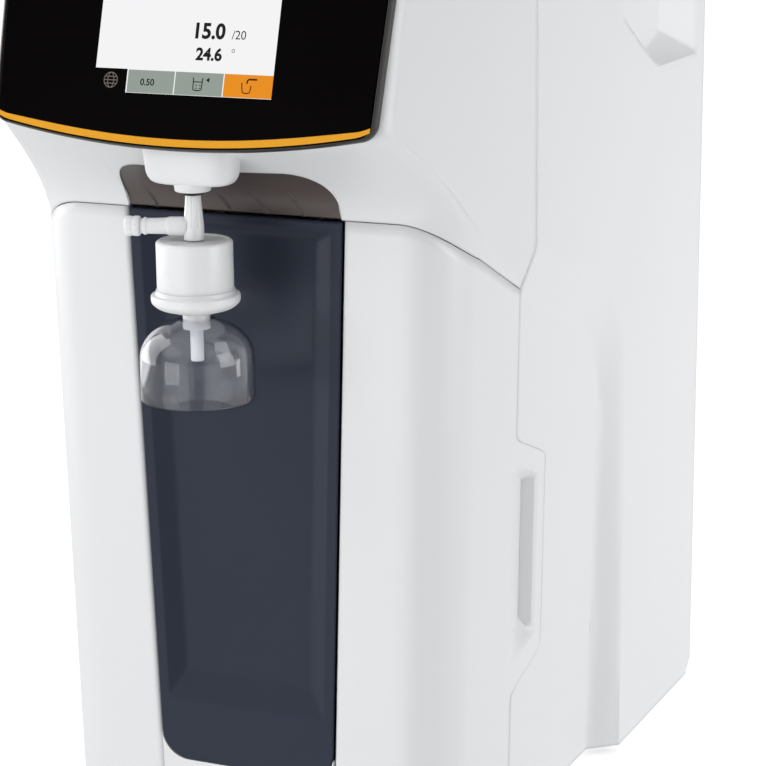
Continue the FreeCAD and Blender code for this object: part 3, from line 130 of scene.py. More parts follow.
def skin(name, grid, body, finish, stands_for=(), wall=0.0, wrap=False, flip=False, sharp=38.0):
    """Makes a piece from one grid of points; flip turns its faces to the other side."""
    quads = grid_quads(grid.shape[0], grid.shape[1], wrap)
    if flip:
        quads = quads[:, ::-1]
    return make_piece(name, grid.reshape(-1, 3), quads, body, finish, stands_for, wall, sharp)


# %% [markdown]
# Turned pieces, such as the capsule and the bell, come from a profile of radii and heights.
# Real mouldings have small radii at each corner, so a helper rounds the profile first.

# %% Rounded profiles and turning
def rounded(corners, radii, steps=6):
    """Replaces each inner corner of a profile by an arc-like curve of the given reach."""
    corners = np.array(corners, dtype=float)
    line = [corners[:1]]
    t = np.linspace(0, 1, steps)[:, None]
    for k in range(1, len(corners) - 1):
        before, here, after = corners[k - 1], corners[k], corners[k + 1]
        reach = min(radii[k], 0.49 * np.linalg.norm(before - here), 0.49 * np.linalg.norm(after - here))
        a = here + (before - here) / np.linalg.norm(before - here) * reach
        b = here + (after - here) / np.linalg.norm(after - here) * reach
        line.append((1 - t) ** 2 * a + 2 * t * (1 - t) * here + t ** 2 * b)
    line.append(corners[-1:])
    return np.concatenate(line)


def turned(profile, centre, steps=72, across=None):
    """Turns a profile (radius, height) about an axis through the centre.

    The point at angle a is centre + radius * (cos a, sin a) + height along the axis. Without
    other directions the axis is upright.
    """
    angle = np.linspace(0, 2 * math.pi, steps, endpoint=False)[:, None]
    radius, height = profile[:, 0][None, :], profile[:, 1][None, :]
    if across is None:
        side, out, axis = np.eye(3)
    else:
        side, out, axis = across
    ring = np.cos(angle)[..., None] * side + np.sin(angle)[..., None] * out
    return np.array(centre) + ring * radius[..., None] + height[..., None] * axis


# %% [markdown]
# ## Materials
# Satin moulded plastic isn't one flat colour: its spark-eroded grain breaks up reflections,
# and its roughness drifts a little. Noise on object coordinates gives both. All numbers
# that don't vary are set on the shader itself.

# %% A helper for plastics
def plastic(name, colour, rough=0.4, grain=1500.0, depth=0.00002, drift=0.06, specular=0.5, tint=0.02,
            glow=0.0):
    """Principled plastic with a fine grain in its bump, a slow drift in its roughness and a glow inside."""
    material = bpy.data.materials.new(name)
    material.use_nodes = True
    nodes, links = material.node_tree.nodes, material.node_tree.links
    shader = nodes["Principled BSDF"]
    shader.inputs["Specular IOR Level"].default_value = specular
    shader.inputs["Subsurface Weight"].default_value = glow
    shader.inputs["Subsurface Radius"].default_value = (1.0, 1.0, 1.0)
    shader.inputs["Subsurface Scale"].default_value = 0.006
    where = nodes.new("ShaderNodeTexCoord")
    slow = nodes.new("ShaderNodeTexNoise")
    slow.inputs["Scale"].default_value = 14.0
    slow.inputs["Detail"].default_value = 3.0
    links.new(where.outputs["Object"], slow.inputs["Vector"])
    rough_map = nodes.new("ShaderNodeMapRange")
    rough_map.inputs["To Min"].default_value = rough - drift
    rough_map.inputs["To Max"].default_value = rough + drift
    links.new(slow.outputs["Fac"], rough_map.inputs["Value"])
    links.new(rough_map.outputs["Result"], shader.inputs["Roughness"])
    shade = nodes.new("ShaderNodeMix")
    shade.data_type = "RGBA"
    shade.inputs["A"].default_value = (*[c * (1 - tint) for c in colour], 1)
    shade.inputs["B"].default_value = (*[min(1, c * (1 + tint)) for c in colour], 1)
    links.new(slow.outputs["Fac"], shade.inputs["Factor"])
    links.new(shade.outputs["Result"], shader.inputs["Base Color"])
    fine = nodes.new("ShaderNodeTexNoise")
    fine.inputs["Scale"].default_value = grain
    fine.inputs["Detail"].default_value = 2.0
    links.new(where.outputs["Object"], fine.inputs["Vector"])
    bump = nodes.new("ShaderNodeBump")
    bump.inputs["Distance"].default_value = depth
    bump.inputs["Strength"].default_value = 0.6
    links.new(fine.outputs["Fac"], bump.inputs["Height"])
    links.new(bump.outputs["Normal"], shader.inputs["Normal"])
    return material


def metal(name, colour, rough=0.35, stretch=(4.0, 260.0, 260.0)):
    """Brushed or rolled metal: noise stretched along one direction drives the roughness."""
    material = bpy.data.materials.new(name)
    material.use_nodes = True
    nodes, links = material.node_tree.nodes, material.node_tree.links
    shader = nodes["Principled BSDF"]
    shader.inputs["Base Color"].default_value = (*colour, 1)
    shader.inputs["Metallic"].default_value = 1.0
    where = nodes.new("ShaderNodeTexCoord")
    turn = nodes.new("ShaderNodeMapping")
    turn.inputs["Scale"].default_value = stretch
    noise = nodes.new("ShaderNodeTexNoise")
    noise.inputs["Scale"].default_value = 6.0
    noise.inputs["Detail"].default_value = 4.0
    spread = nodes.new("ShaderNodeMapRange")
    spread.inputs["To Min"].default_value = rough - 0.1
    spread.inputs["To Max"].default_value = rough + 0.12
    bump = nodes.new("ShaderNodeBump")
    bump.inputs["Distance"].default_value = 0.00001
    bump.inputs["Strength"].default_value = 0.5
    links.new(where.outputs["Object"], turn.inputs["Vector"])
    links.new(turn.outputs["Vector"], noise.inputs["Vector"])
    links.new(noise.outputs["Fac"], spread.inputs["Value"])
    links.new(spread.outputs["Result"], shader.inputs["Roughness"])
    links.new(noise.outputs["Fac"], bump.inputs["Height"])
    links.new(bump.outputs["Normal"], shader.inputs["Normal"])
    return material


# %% Finishes of this machine
white_shell = plastic("white_shell", (0.79, 0.797, 0.81), rough=0.36, tint=0.008)
base_plastic = plastic("base_plastic", (0.76, 0.77, 0.79), rough=0.5)
slate_bay = plastic("slate_bay", (0.021, 0.027, 0.045), rough=0.42, grain=1100.0, depth=0.00006,
                    specular=0.2, tint=0.08)
brown_liner = plastic("brown_liner", (0.078, 0.060, 0.056), rough=0.36, tint=0.06)
grey_rim = plastic("grey_rim", (0.034, 0.033, 0.03), rough=0.35, specular=0.3)
black_glass = plastic("black_glass", (0.0025, 0.002, 0.002), rough=0.12, grain=300.0, depth=0.0000005,
                      drift=0.02, specular=0.025)
orange_stripe = plastic("orange_stripe", (0.83, 0.37, 0.012), rough=0.3, drift=0.03, specular=0.3)
milky_plastic = plastic("milky_plastic", (0.85, 0.86, 0.87), rough=0.3, grain=700.0, glow=0.5)
inner_black = plastic("inner_black", (0.018, 0.018, 0.02), rough=0.45)
rubber = plastic("rubber", (0.02, 0.02, 0.021), rough=0.75, grain=900.0, depth=0.00008)
cartridge_shell = plastic("cartridge_shell", (0.55, 0.62, 0.72), rough=0.3)
manifold_plastic = plastic("manifold_plastic", (0.42, 0.43, 0.45), rough=0.4)
board_green = plastic("board_green", (0.02, 0.12, 0.05), rough=0.45, grain=500.0)
steel = metal("steel", (0.62, 0.62, 0.64))
zinc_sheet = metal("zinc_sheet", (0.66, 0.67, 0.69), rough=0.42, stretch=(40.0, 40.0, 40.0))
aluminium = metal("aluminium", (0.75, 0.76, 0.78), rough=0.38)
print("materials", len(bpy.data.materials))

# %% [markdown]
# The bell is clear polycarbonate: light passes through it, bends a little and leaves bright
# rims. Under one part in a hundred scatters, as a faint haze.

# %% Clear plastic
def clear_plastic(name, rough=0.04, body_tint=(0.94, 0.95, 0.98), haze=0.008):
    """Transmissive plastic with a little haze and some grain in its roughness."""
    material = bpy.data.materials.new(name)
    material.use_nodes = True
    nodes, links = material.node_tree.nodes, material.node_tree.links
    shader = nodes["Principled BSDF"]
    shader.inputs["Base Color"].default_value = (*body_tint, 1)
    shader.inputs["Transmission Weight"].default_value = 1.0 - haze
    shader.inputs["IOR"].default_value = 1.42
    where = nodes.new("ShaderNodeTexCoord")
    noise = nodes.new("ShaderNodeTexNoise")
    noise.inputs["Scale"].default_value = 60.0
    spread = nodes.new("ShaderNodeMapRange")
    spread.inputs["To Min"].default_value = rough * 0.5
    spread.inputs["To Max"].default_value = rough * 1.5
    links.new(where.outputs["Object"], noise.inputs["Vector"])
    links.new(noise.outputs["Fac"], spread.inputs["Value"])
    links.new(spread.outputs["Result"], shader.inputs["Roughness"])
    return material


clear_bell = clear_plastic("clear_bell", 0.004)
lamp_glass = clear_plastic("lamp_glass", 0.1, (0.85, 0.9, 0.98))

# %% [markdown]
# ## The hood
# The hood carries the display. Its lower part sweeps forward from the doors' outline to the
# wider head: each point slides from the lower outline to the head's outline by a power of
# how far it has climbed. That makes a cove under the display and a flat ramp at the sides.

# %% The seam and the two outlines
def seam_height(y):
    """Height of the seam over the doors: a short bow, then a straight fall to the side."""
    share = np.clip(y / 36.0, 0, None)
    bow = mix(390.0, 367.1, share) - 2.67 * share * (1 - share) * 4.5
    straight = mix(367.1, 338.5, (y - 36.0) / 62.0)
    return np.where(y < 36.0, bow, straight)


def display_depth(z):
    """Depth of the head's leaning front, five millimetres behind the display's face."""
    return FACE_Y + (z - FACE_Z) * SIN / COS + 5.0 / COS


def low_outline(kind, share, z, inset):
    """Lower outline: a front run, a quarter circle and a straight side."""
    half, radius = lower_half(z) - inset, CORNER - inset
    turn = share * math.pi / 2
    x = np.select([kind == 0, kind == 1],
                  [share * (half - radius), half - radius + radius * np.sin(turn)], half)
    y = np.select([kind == 0, kind == 1], [0 * share + inset, inset + radius - radius * np.cos(turn)],
                  mix(inset + radius, SIDE_SEAM - 0.3, share))
    return x, y


def head_outline(kind, share, z, inset):
    """Head outline: leaning front, a small corner and a side that spreads to full width."""
    face = display_depth(z) + inset / COS
    half, radius = HEAD_HALF - inset, HEAD_CORNER - inset
    last = math.pi / 2 - np.arctan((FULL - inset - half) / (SIDE_SEAM - 0.3 - face))
    turn = last * np.where(kind == 1, share, 1.0)
    x1, y1 = half - radius + radius * np.sin(turn), face + radius - radius * np.cos(turn)
    x = np.select([kind == 0, kind == 1], [share * (half - radius), x1], mix(x1, FULL - inset, share))
    y = np.select([kind == 0, kind == 1], [face, y1], mix(y1, SIDE_SEAM - 0.3, share))
    return x, y


def rim_height(kind, share):
    """Height where the cove ends: lowest in the middle, up at the display's corner, then down."""
    flat = HEAD_HALF - HEAD_CORNER
    x = np.where(kind == 0, share * flat, flat + HEAD_CORNER * np.sin(share * math.pi / 2))
    rise = RIM_LOW + RIM_RISE * np.minimum(1, x / 110.0) ** 2
    return np.select([kind == 0, kind == 1], [rise, mix(rise, RIM_CORNER, share)],
                     mix(RIM_CORNER, RIM_SIDE, share))


# %% [markdown]
# The arched opening under the display is part of the same grid: the columns in the middle
# start higher up, where the arch's outline crosses the cove.

# %% The arch's edge
def arch_depth(x):
    """Depth of the arch's edge: flat in the middle, with a quarter circle at each end."""
    run = np.clip(np.abs(x) - ARCH_FLAT, 0, ARCH_ROUND)
    return -(2.0 + np.sqrt(ARCH_ROUND ** 2 - run ** 2))


def arch_level(kind, share):
    """First level of each column that lies outside the arch, found on a fine scale of levels."""
    level = np.linspace(0, 1, 400)[None, :]
    k, s = kind[:, None], share[:, None]
    z = mix(SEAM_Z, rim_height(k, s), level)
    low, high = low_outline(k, s, z, 0), head_outline(k, s, z, 0)
    climb = level ** COVE_POWER
    x, y = mix(low[0], high[0], climb), mix(low[1], high[1], climb)
    beyond = y < arch_depth(x)
    first = level[0][np.argmax(beyond, axis=1)]
    return np.where((kind == 0) & (share * FRONT_HALF <= ARCH_HALF), first, 0.0)


# %% The hood's surface
across = np.sin(np.linspace(0, math.pi / 2, 44)) * ARCH_HALF
front_run = np.concatenate([across, [65.61], np.linspace(67.5, FRONT_HALF, 12)[:-1]]) / FRONT_HALF
corner_run, side_run = np.linspace(0, 1, 20), np.linspace(0, 1, 42)[1:]
kinds = np.concatenate([0 * front_run, 0 * corner_run + 1, 0 * side_run + 2])
shares = np.concatenate([front_run, corner_run, side_run])
start = arch_level(kinds, shares)


def hood_column(level):
    """All columns of the right half at one level: 0 the seam, 1 the rim, 2 the shoulder."""
    rim, foot = rim_height(kinds, shares), seam_height(low_outline(kinds, shares, SEAM_Z, 0)[1])
    if level > 1:
        z = mix(rim, SHOULDER, level - 1)
        x, y = head_outline(kinds, shares, z, 0)
        return np.stack([x, y, z], axis=-1)
    rise = start + (1 - start) * level
    z = mix(foot, rim, rise)
    power = np.where(kinds == 2, mix(COVE_POWER, 1.0, shares), COVE_POWER)
    climb = rise ** power
    low, high = low_outline(kinds, shares, z, 0), head_outline(kinds, shares, z, 0)
    return np.stack([mix(low[0], high[0], climb), mix(low[1], high[1], climb), z], axis=-1)


levels = np.concatenate([np.linspace(0, 1, 30), 1 + np.array([0.02, 0.04, 0.07, 0.11, 0.2, 0.4, 0.7, 1.0])])
hood_rows = [hood_column(level) for level in levels]
for turn in np.linspace(0, math.pi / 2, 8)[1:]:
    draw, z = EDGE * (1 - math.cos(turn)), SHOULDER + EDGE * math.sin(turn)
    x, y = head_outline(kinds, shares, z, draw)
    hood_rows.append(np.stack([x, y, 0 * x + z], axis=-1))
crown = hood_rows[-1]
for share in (0.03, 0.5, 1.0):
    hood_rows.append(mix(crown, np.array([0, SIDE_SEAM - 0.3, TOP]), share))
half_hood = np.stack(hood_rows, axis=1)
for _ in range(5):  # softens the crease at the rim, over the thirteen rows round it
    half_hood[:, 24:37] = (half_hood[:, 23:36] + 2 * half_hood[:, 24:37] + half_hood[:, 25:38]) / 4
hood_grid = np.concatenate([half_hood[::-1] * [-1, 1, 1], half_hood[1:]])
hood = skin("hood_skin", hood_grid, "housing", white_shell, ["hood"], wall=0.6)
print("hood", len(hood.data.polygons))

# %% [markdown]
# ## The rear housing
# Its side is a height field: the half width is worked out for each depth and height. A ramp
# joins the narrow lower body to the full width, and the carrying grip is pressed into it.

# %% The ramp and the grip as fields
def ramp_curve(step, drop):
    """A straight run, a Bezier quarter turn and a plumb line, shifted by a step and a drop."""
    t = np.linspace(0, 1, 60)[:, None]
    run = mix(np.array([60.0, 378.4 - drop]), np.array([188.0 - step / 2, 330.0 - drop]), t)
    p0, p3 = run[-1], np.array([252.0 - step, 262.0 - drop])
    p1, p2 = p0 + [30.0, -11.3], p3 + [0.0, 38.0]
    bend = (1 - t) ** 3 * p0 + 3 * (1 - t) ** 2 * t * p1 + 3 * (1 - t) * t ** 2 * p2 + t ** 3 * p3
    return np.concatenate([run, bend[1:], mix(p3, np.array([p3[0], -20.0]), t[1:])])


def distance_to(curve, y, z):
    """Distance from each place of the field to the nearest point of a curve."""
    best = np.full(y.shape, 1e9)
    for point in curve:
        best = np.minimum(best, (y - point[0]) ** 2 + (z - point[1]) ** 2)
    return np.sqrt(best)


def soft_clip(f, soft=0.14):
    """Clips to 0..1 with a rounded corner at both ends."""
    low = np.where(np.abs(f) < soft, (f + soft) ** 2 / (4 * soft), np.maximum(f, 0))
    top = np.where(np.abs(1 - f) < soft, 1 - (1 - f + soft) ** 2 / (4 * soft), np.minimum(low, 1))
    return np.where(np.abs(1 - f) < soft, top, np.minimum(low, 1))


def ramp_share(y, z):
    """0 on the lower body, 1 on the full width and a straight slope between the two curves."""
    outer, inner = ramp_curve(0.0, 0.0), ramp_curve(13.5, 25.5)
    to_outer, to_inner = distance_to(outer, y, z), distance_to(inner, y, z)
    above = (y >= 252.0) | (z > np.interp(y, outer[:119, 0], outer[:119, 1]))
    below = (y < 238.5) & (z < np.interp(y, inner[:119, 0], inner[:119, 1]))
    between = to_inner / (to_inner + to_outer + 1e-9)
    return soft_clip(np.select([above, below], [1 + to_outer / 24.0, -to_inner / 24.0], between))


def grip_depth(y, z):
    """Depth of the carrying grip: the least of its floor, rear wall, ledges and slanted tip."""
    floor, rear = (y - 241.0) * 0.144, (394.0 - y) * 0.643
    ledge = np.minimum(534.0 - z, z - 440.0) * 1.125
    top = (495.0 + (y - 241.0) * 0.513 - z) * 2.3
    low = (z - 478.5 + (y - 241.0) * 0.507) * 2.3
    return np.clip(np.min([floor, rear, ledge, top, low], axis=0), 0, 18.0)


def door_edge(z):
    """Depth of the door's rear edge, which reaches back at the grip tab."""
    return np.mean([np.interp(z + o, [93.0, 108.0, 230.0, 249.5], [97.7, 146.7, 146.7, 97.7])
                    for o in np.linspace(-2.5, 2.5, 7)], axis=0)


# %% The housing's surface
low_rows = [6, 9, 16, 16.01, 45, 70, 87, 91, 95, 98, 101, 104, 107, 110, 114, 150, 180, 205, 225, 228, 231,
            234, 238, 242, 246]
side_z = np.concatenate([low_rows, np.linspace(250, 372, 62), [380, 395, 410, 425, 436],
                         np.linspace(438, 536, 44), [541, 546, 550]])
depth_share = np.concatenate([np.linspace(0, 0.15, 12), np.linspace(0.15, 0.56, 62)[1:],
                              np.linspace(0.56, 0.69, 10)[1:], np.linspace(0.69, 1, 36)[1:]])
z = side_z[None, :] + 0 * depth_share[:, None]
first = door_edge(z) + GAP
last = np.interp(z, [FOOT, 16.0, TOP], [394.0, 404.0, REAR])
y = mix(98.3, 404.0, depth_share[:, None]) + 0 * z
y = np.where(y < 160.0, mix(first, 160.0, (y - 98.3) / 61.7), y)
y = np.where(y > 380.0, mix(380.0, last, (y - 380.0) / 24.0), y)
x = mix(lower_half(z), FULL, ramp_share(y, z)) - grip_depth(y, z)
side = np.stack([x, y, z], axis=-1)
rows = [side]
for turn in np.linspace(0, math.pi / 2, 8)[1:]:
    rows.append(np.stack([0 * y[:, :1] + FULL - EDGE + EDGE * math.cos(turn), y[:, -1:],
                          0 * y[:, :1] + SHOULDER + EDGE * math.sin(turn)], axis=-1))
rows.append(np.stack([0 * y[:, :1], y[:, -1:], 0 * y[:, :1] + TOP], axis=-1))
half_shell = np.concatenate(rows, axis=1)
shell_grid = np.concatenate([half_shell, half_shell[:, -2::-1] * [-1, 1, 1]], axis=1)
shell = skin("rear_shell", shell_grid, "housing", white_shell, ["rear_housing"], wall=WALL)
print("rear housing", len(shell.data.polygons))

# %% [markdown]
# ## The doors
# Each door starts with a round bead along its hinge, runs across the front, turns the corner
# and ends in a tab with a finger recess. The grid's last columns follow the tab's outline.

# %% Finger recess and door surface
def recess_depth(y, z):
    """Depth of the finger recess: floor, steep rear wall and two slanted ends."""
    share = np.clip((y - 95.5) / 36.0, 0, 1)
    floor, rear = 1.4 + 7.6 * share, (133.5 - y) * 4.5
    top = (236.5 - (y - 95.5) * 0.434 - z) * mix(0.165, 1.84, share)
    low = (z - 110.5 - (y - 95.5) * 0.25) * mix(0.068, 0.78, share)
    return np.clip(np.min([floor, rear, top, low], axis=0), 0, 9.0) * (y > 95.4)


def door_grid():
    """Right door: bead, front run, corner and side, each a run of columns."""
    rise = np.concatenate([np.linspace(0, 0.22, 8), np.linspace(0.22, 0.74, 84)[1:],
                           np.linspace(0.74, 1, 14)[1:]])
    run = np.concatenate([np.linspace(0, 1, 13), 1 + np.linspace(0, 1, 9)[1:], 2 + np.linspace(0, 1, 22)[1:],
                          3 + np.linspace(0, 1, 60)[1:]])[:, None]
    base_y = np.interp(run, [0, 2, 3, 4], [0, 0, CORNER, 97.7])
    base_y = np.where((run > 2) & (run < 3), CORNER * (1 - np.cos((run - 2) * math.pi / 2)), base_y)
    z = 14.6 + rise[None, :] * (seam_height(base_y) - GAP - 14.6)
    hinge, half = bay_half(z) + GAP + 3.5, lower_half(z)
    turn = np.radians(80 + 190 * np.clip(run, 0, 1))
    bend = np.clip(run - 2, 0, 1) * math.pi / 2
    edge = door_edge(z)
    side_y = mix(CORNER, edge, np.clip(run - 3, 0, 1))
    x = np.select([run <= 1, run <= 2, run <= 3],
                  [hinge + 3.5 * np.cos(turn), mix(hinge, half - CORNER, run - 1),
                   half - CORNER + CORNER * np.sin(bend)], half - recess_depth(side_y, z))
    y = np.select([run <= 1, run <= 2, run <= 3],
                  [3.5 + 3.5 * np.sin(turn) + 0 * z, 0 * z, CORNER * (1 - np.cos(bend)) + 0 * z], side_y)
    return np.stack([x, y, z], axis=-1)


right = door_grid()
skin("right_door_skin", right, "right_door", white_shell, ["right_door"], wall=WALL)
skin("left_door_skin", right * [-1, 1, 1], "left_door", white_shell, ["left_door"], wall=WALL,
     flip=True)

# %% [markdown]
# ## The bay and its liner
# The slate bay is a plate with a shallow tray pressed into it. The depth is the least of four
# slopes, with a soft corner where they meet. Above it, a ribbed liner closes the arch.

# %% The bay plate
def soft_least(values, soft=0.4):
    """A smooth minimum: minus the logarithm of the summed exponentials."""
    return -soft * np.log(np.sum(np.exp(-np.array(values) / soft), axis=0))


BAY_LOW, BAY_ROUND, BAY_SILL = 64.3, 16.7, 81
foot_run = BAY_LOW + BAY_ROUND * (1 - np.cos(np.linspace(0, math.pi / 2, 14)))
z = np.concatenate([foot_run, np.linspace(82, 388.7, 190)])[None, :]
share = np.concatenate([np.linspace(-1, -0.6, 44), np.linspace(-0.6, 0.6, 20)[1:-1],
                        np.linspace(0.6, 1, 44)])[:, None]
rounding = BAY_ROUND - np.sqrt(np.clip(BAY_ROUND ** 2 - (BAY_SILL - z) ** 2, 0, None))
half = bay_half(z) - 0.3 - np.where(z < BAY_SILL, rounding, 0)
x = share * half
slopes = [(bay_half(z) - 6.0 - np.abs(x)) * 0.417, (z - 101.0) * 0.278 + 0 * x,
          (384.0 - z) * 0.83 + 0 * x, 5.0 + 0 * x]
depth = np.clip(soft_least(slopes), 0, None)
skin("bay_skin", np.stack([x, depth, z + 0 * x], axis=-1), "housing", slate_bay, ["bay_panel"],
     wall=2.5)
print("bay", depth.shape)

# %% The ribbed liner
x = np.linspace(-68.6, 68.6, 281)[:, None]
z = np.linspace(390.5, 426.0, 44)[None, :]
climb = ((z - SEAM_Z) / (44.4 + RIM_RISE * (x / 110.0) ** 2)) ** COVE_POWER
y = climb * display_depth(z) + 1.2
run = x + 47.4 + 0.4 * (z - SEAM_Z)
rib = np.clip(1.5 - np.abs((run + 11.3) % 22.6 - 11.3) / 0.6, 0, 1) * (run > -5) * (run < 95)
rib = rib * np.clip((SEAM_Z + 17.0 - z) / 8.0, 0, 1)
skin("liner_skin", np.stack([x + 0 * y, y - 0.8 * rib, z + 0 * x], axis=-1), "housing", brown_liner,
     ["recess_liner"], wall=1.6)
print("liner", rib.shape)

# %% [markdown]
# ## Outlet, capsule and bell
# The white outlet boss is a rounded block under the display. From it hangs the capsule: a
# milky cylinder on a collar, with a vent to the side and the clear bell round its spout.

# %% The outlet boss
def boss_loop(half_x, half_y, steps=96):
    """A superellipse: cosine and sine raised to half a power, close to a rounded rectangle."""
    a = np.linspace(0, 2 * math.pi, steps, endpoint=False)
    c, s = np.cos(a), np.sin(a)
    return half_x * np.sign(c) * np.abs(c) ** 0.62, half_y * np.sign(s) * np.abs(s) ** 0.72


axis_at = (0, AXIS_Y, 0)
profile = rounded([(0, 413), (10.0, 413), (11.6, 417.5), (12.6, 434), (14.0, 443)], [0, 5.0, 4.5, 5.0, 0], 9)
loops = []
for reach, height in profile:
    lx, ly = boss_loop(reach * 2.24, reach)
    loops.append(np.stack([lx, ly + AXIS_Y, 0 * lx + height], axis=-1))
skin("outlet_block", np.stack(loops, axis=1), "housing", white_shell, ["outlet_boss"], wrap=True)
ring = turned(rounded([(3.6, 409.2), (9.6, 409.2), (10.2, 414.5), (3.6, 414.5)], [0, 0.8, 0.4, 0], 5), axis_at)
skin("outlet_ring", ring, "housing", white_shell, wrap=True)
seal = turned(rounded([(4.6, 407.3), (5.9, 407.3), (5.9, 409.3), (4.6, 409.3)], [0, 0.9, 0.9, 0], 6), axis_at)
skin("outlet_seal", seal, "housing", rubber, ["outlet_o_ring"], wrap=True)

# %% Capsule, collar, spout and bell
capsule_profile = rounded([(0, 356.0), (20.6, 356.0), (20.6, 382.0), (19.2, 383.0), (18.2, 382.9),
                           (17.6, 382.2), (0, 382.2)], [0, 0.2, 0.9, 0.5, 0.4, 0.4, 0], 8)
skin("capsule_can", turned(capsule_profile, axis_at, 96), "capsule", milky_plastic,
     ["capsule_body"], wrap=True)
collar_profile = rounded([(0, 343.0), (8.5, 343.0), (20.8, 346.6), (24.0, 349.6), (24.0, 353.6), (21.6, 354.2),
                          (21.2, 356.4), (0, 356.4)], [0, 1.0, 2.0, 1.2, 0.8, 0.3, 0.3, 0], 6)
skin("capsule_flange", turned(collar_profile, axis_at, 96), "capsule", milky_plastic,
     ["capsule_collar"], wrap=True)
spout_profile = rounded([(2.2, 317.0), (3.6, 317.0), (3.6, 334.5), (7.35, 334.5), (7.35, 343.0), (2.2, 343.0),
                         (2.2, 317.0)], [0, 0.5, 1.0, 0.6, 0.2, 0.2, 0], 5)
skin("spout_tube", turned(spout_profile, axis_at, 64), "capsule", milky_plastic,
     ["outlet_spout"], wrap=True)
# The vent: a hub beside the neck, a stepped arm that points to the left, and its screw cap.
YAW, vent_at = math.radians(20.0), (0, AXIS_Y, 390.3)
arm_frame = (np.array([math.sin(YAW), -math.cos(YAW), 0.0]), np.array([0.0, 0.0, 1.0]),
             np.array([-math.cos(YAW), -math.sin(YAW), 0.0]))
arm_profile = rounded([(0, 3.0), (5.0, 3.0), (5.0, 13.2), (4.4, 14.6), (4.2, 25.0), (4.7, 25.4), (4.7, 26.6),
                       (4.1, 27.0), (4.1, 28.6), (0, 28.6)], [0, 0.8, 1.0, 0.6, 0.3, 0.2, 0.2, 0.2, 0.2, 0], 5)
skin("vent_pipe", turned(arm_profile, vent_at, 56, arm_frame), "capsule", milky_plastic,
     ["vent_arm"], wrap=True)
cap_profile = rounded([(0, 28.7), (4.9, 28.7), (5.3, 29.4), (5.3, 31.8), (5.0, 32.3), (5.0, 33.0), (5.3, 33.5),
                       (5.2, 36.2), (4.4, 37.0), (0, 37.0)], [0, 0.5, 0.5, 0.6, 0.5, 0.5, 0.5, 0.6, 0.6, 0], 4)
ridge = 1 + 0.03 * np.sin(np.linspace(0, 2 * math.pi, 96, endpoint=False) * 16)[:, None]
cap_points = turned(cap_profile, (0, 0, 0), 96, arm_frame)
along = cap_points @ arm_frame[2]
cap_points = (cap_points - along[..., None] * arm_frame[2]) * ridge[..., None] + along[..., None] * arm_frame[2]
skin("vent_screw", cap_points + np.array(vent_at), "vent_cap", milky_plastic,
     ["vent_cap"], wrap=True)
turn = np.linspace(0, math.acos(9.1 / 31.0), 22)
outer = np.stack([31.0 * np.cos(turn), 319.0 + 22.0 * np.sin(turn)], axis=-1)
turn = np.linspace(math.acos(7.6 / 29.6), 0, 22)
inner = np.stack([29.6 * np.cos(turn), 319.0 + 20.6 * np.sin(turn)], axis=-1)
bell_profile = np.concatenate([[(29.7, 297.0), (30.0, 296.5), (30.8, 296.5), (31.0, 297.0)], outer, inner,
                               [(29.7, 297.0)]])
skin("bell_skin", turned(bell_profile, axis_at, 128), "capsule", clear_bell, ["dispense_bell"],
     wrap=True, sharp=60.0)

# %% [markdown]
# ## The display
# The glass, its rim and the coloured stripe lie on a plane that leans back by 16.6 degrees.
# A point on it is given by its place across, its height along the plane and its depth.

# %% The tilted plane and its outline
def on_display(across, up, depth):
    """Turns places on the leaning plane into points of the housing."""
    across, up, depth = np.broadcast_arrays(across, up, depth)
    return np.stack([across, FACE_Y + up * SIN + depth * COS, FACE_Z + up * COS - depth * SIN], axis=-1)


big = (GLASS_HALF ** 2 + GLASS_RISE ** 2) / (2 * GLASS_RISE)


def glass_outline(radius=8.0, steps=14):
    """Right half of the outline: a shallow arc below, a round corner, the side and the top."""
    lean = math.atan2(3.0, 95.0)
    cy = -GLASS_FOOT + radius
    for _ in range(20):
        cx = GLASS_HALF + (cy + 16.6) * math.tan(lean) - radius / math.cos(lean)
        cy = big - GLASS_FOOT - math.sqrt((big - radius) ** 2 - cx ** 2)
    first = math.atan2(cx, big - GLASS_FOOT - cy)
    t = np.linspace(0, first, 40)
    foot = np.stack([big * np.sin(t), big - GLASS_FOOT - big * np.cos(t)], axis=-1)
    t = np.linspace(first, math.pi / 2 - lean, steps)[1:]
    corner = np.stack([cx + radius * np.sin(t), cy - radius * np.cos(t)], axis=-1)
    top_x = 113.5 - radius
    t = np.linspace(math.pi / 2 - lean, math.pi * 0.985, steps)
    crown = np.stack([top_x + radius * np.sin(t) - 0.3, 82.5 - radius - radius * np.cos(t)], axis=-1)
    t = np.linspace(0, 1, 24)[1:, None]
    top = np.stack([crown[-1, 0] * (1 - t[:, 0]), 86.0 - 3.6 * (1 - t[:, 0]) ** 2], axis=-1)
    return np.concatenate([foot, corner, crown, top])


half = glass_outline()
loop = np.concatenate([half, (half * [-1, 1])[-2:0:-1]])
ahead = np.roll(loop, -1, axis=0) - np.roll(loop, 1, axis=0)
away = np.stack([ahead[:, 1], -ahead[:, 0]], axis=-1) / np.linalg.norm(ahead, axis=1)[:, None]


def band(profile):
    """Carries a profile of (distance outwards, depth) round the outline, slimmer along the foot."""
    reach, depth = np.array(profile)[:, 0], np.array(profile)[:, 1]
    slim = 1 - 0.6 * np.clip(-away[:, 1], 0, 1)[:, None, None] * (reach > 0)[None, :, None]
    place = loop[:, None, :] + away[:, None, :] * reach[None, :, None] * slim
    return on_display(place[..., 0], place[..., 1], depth[None, :])


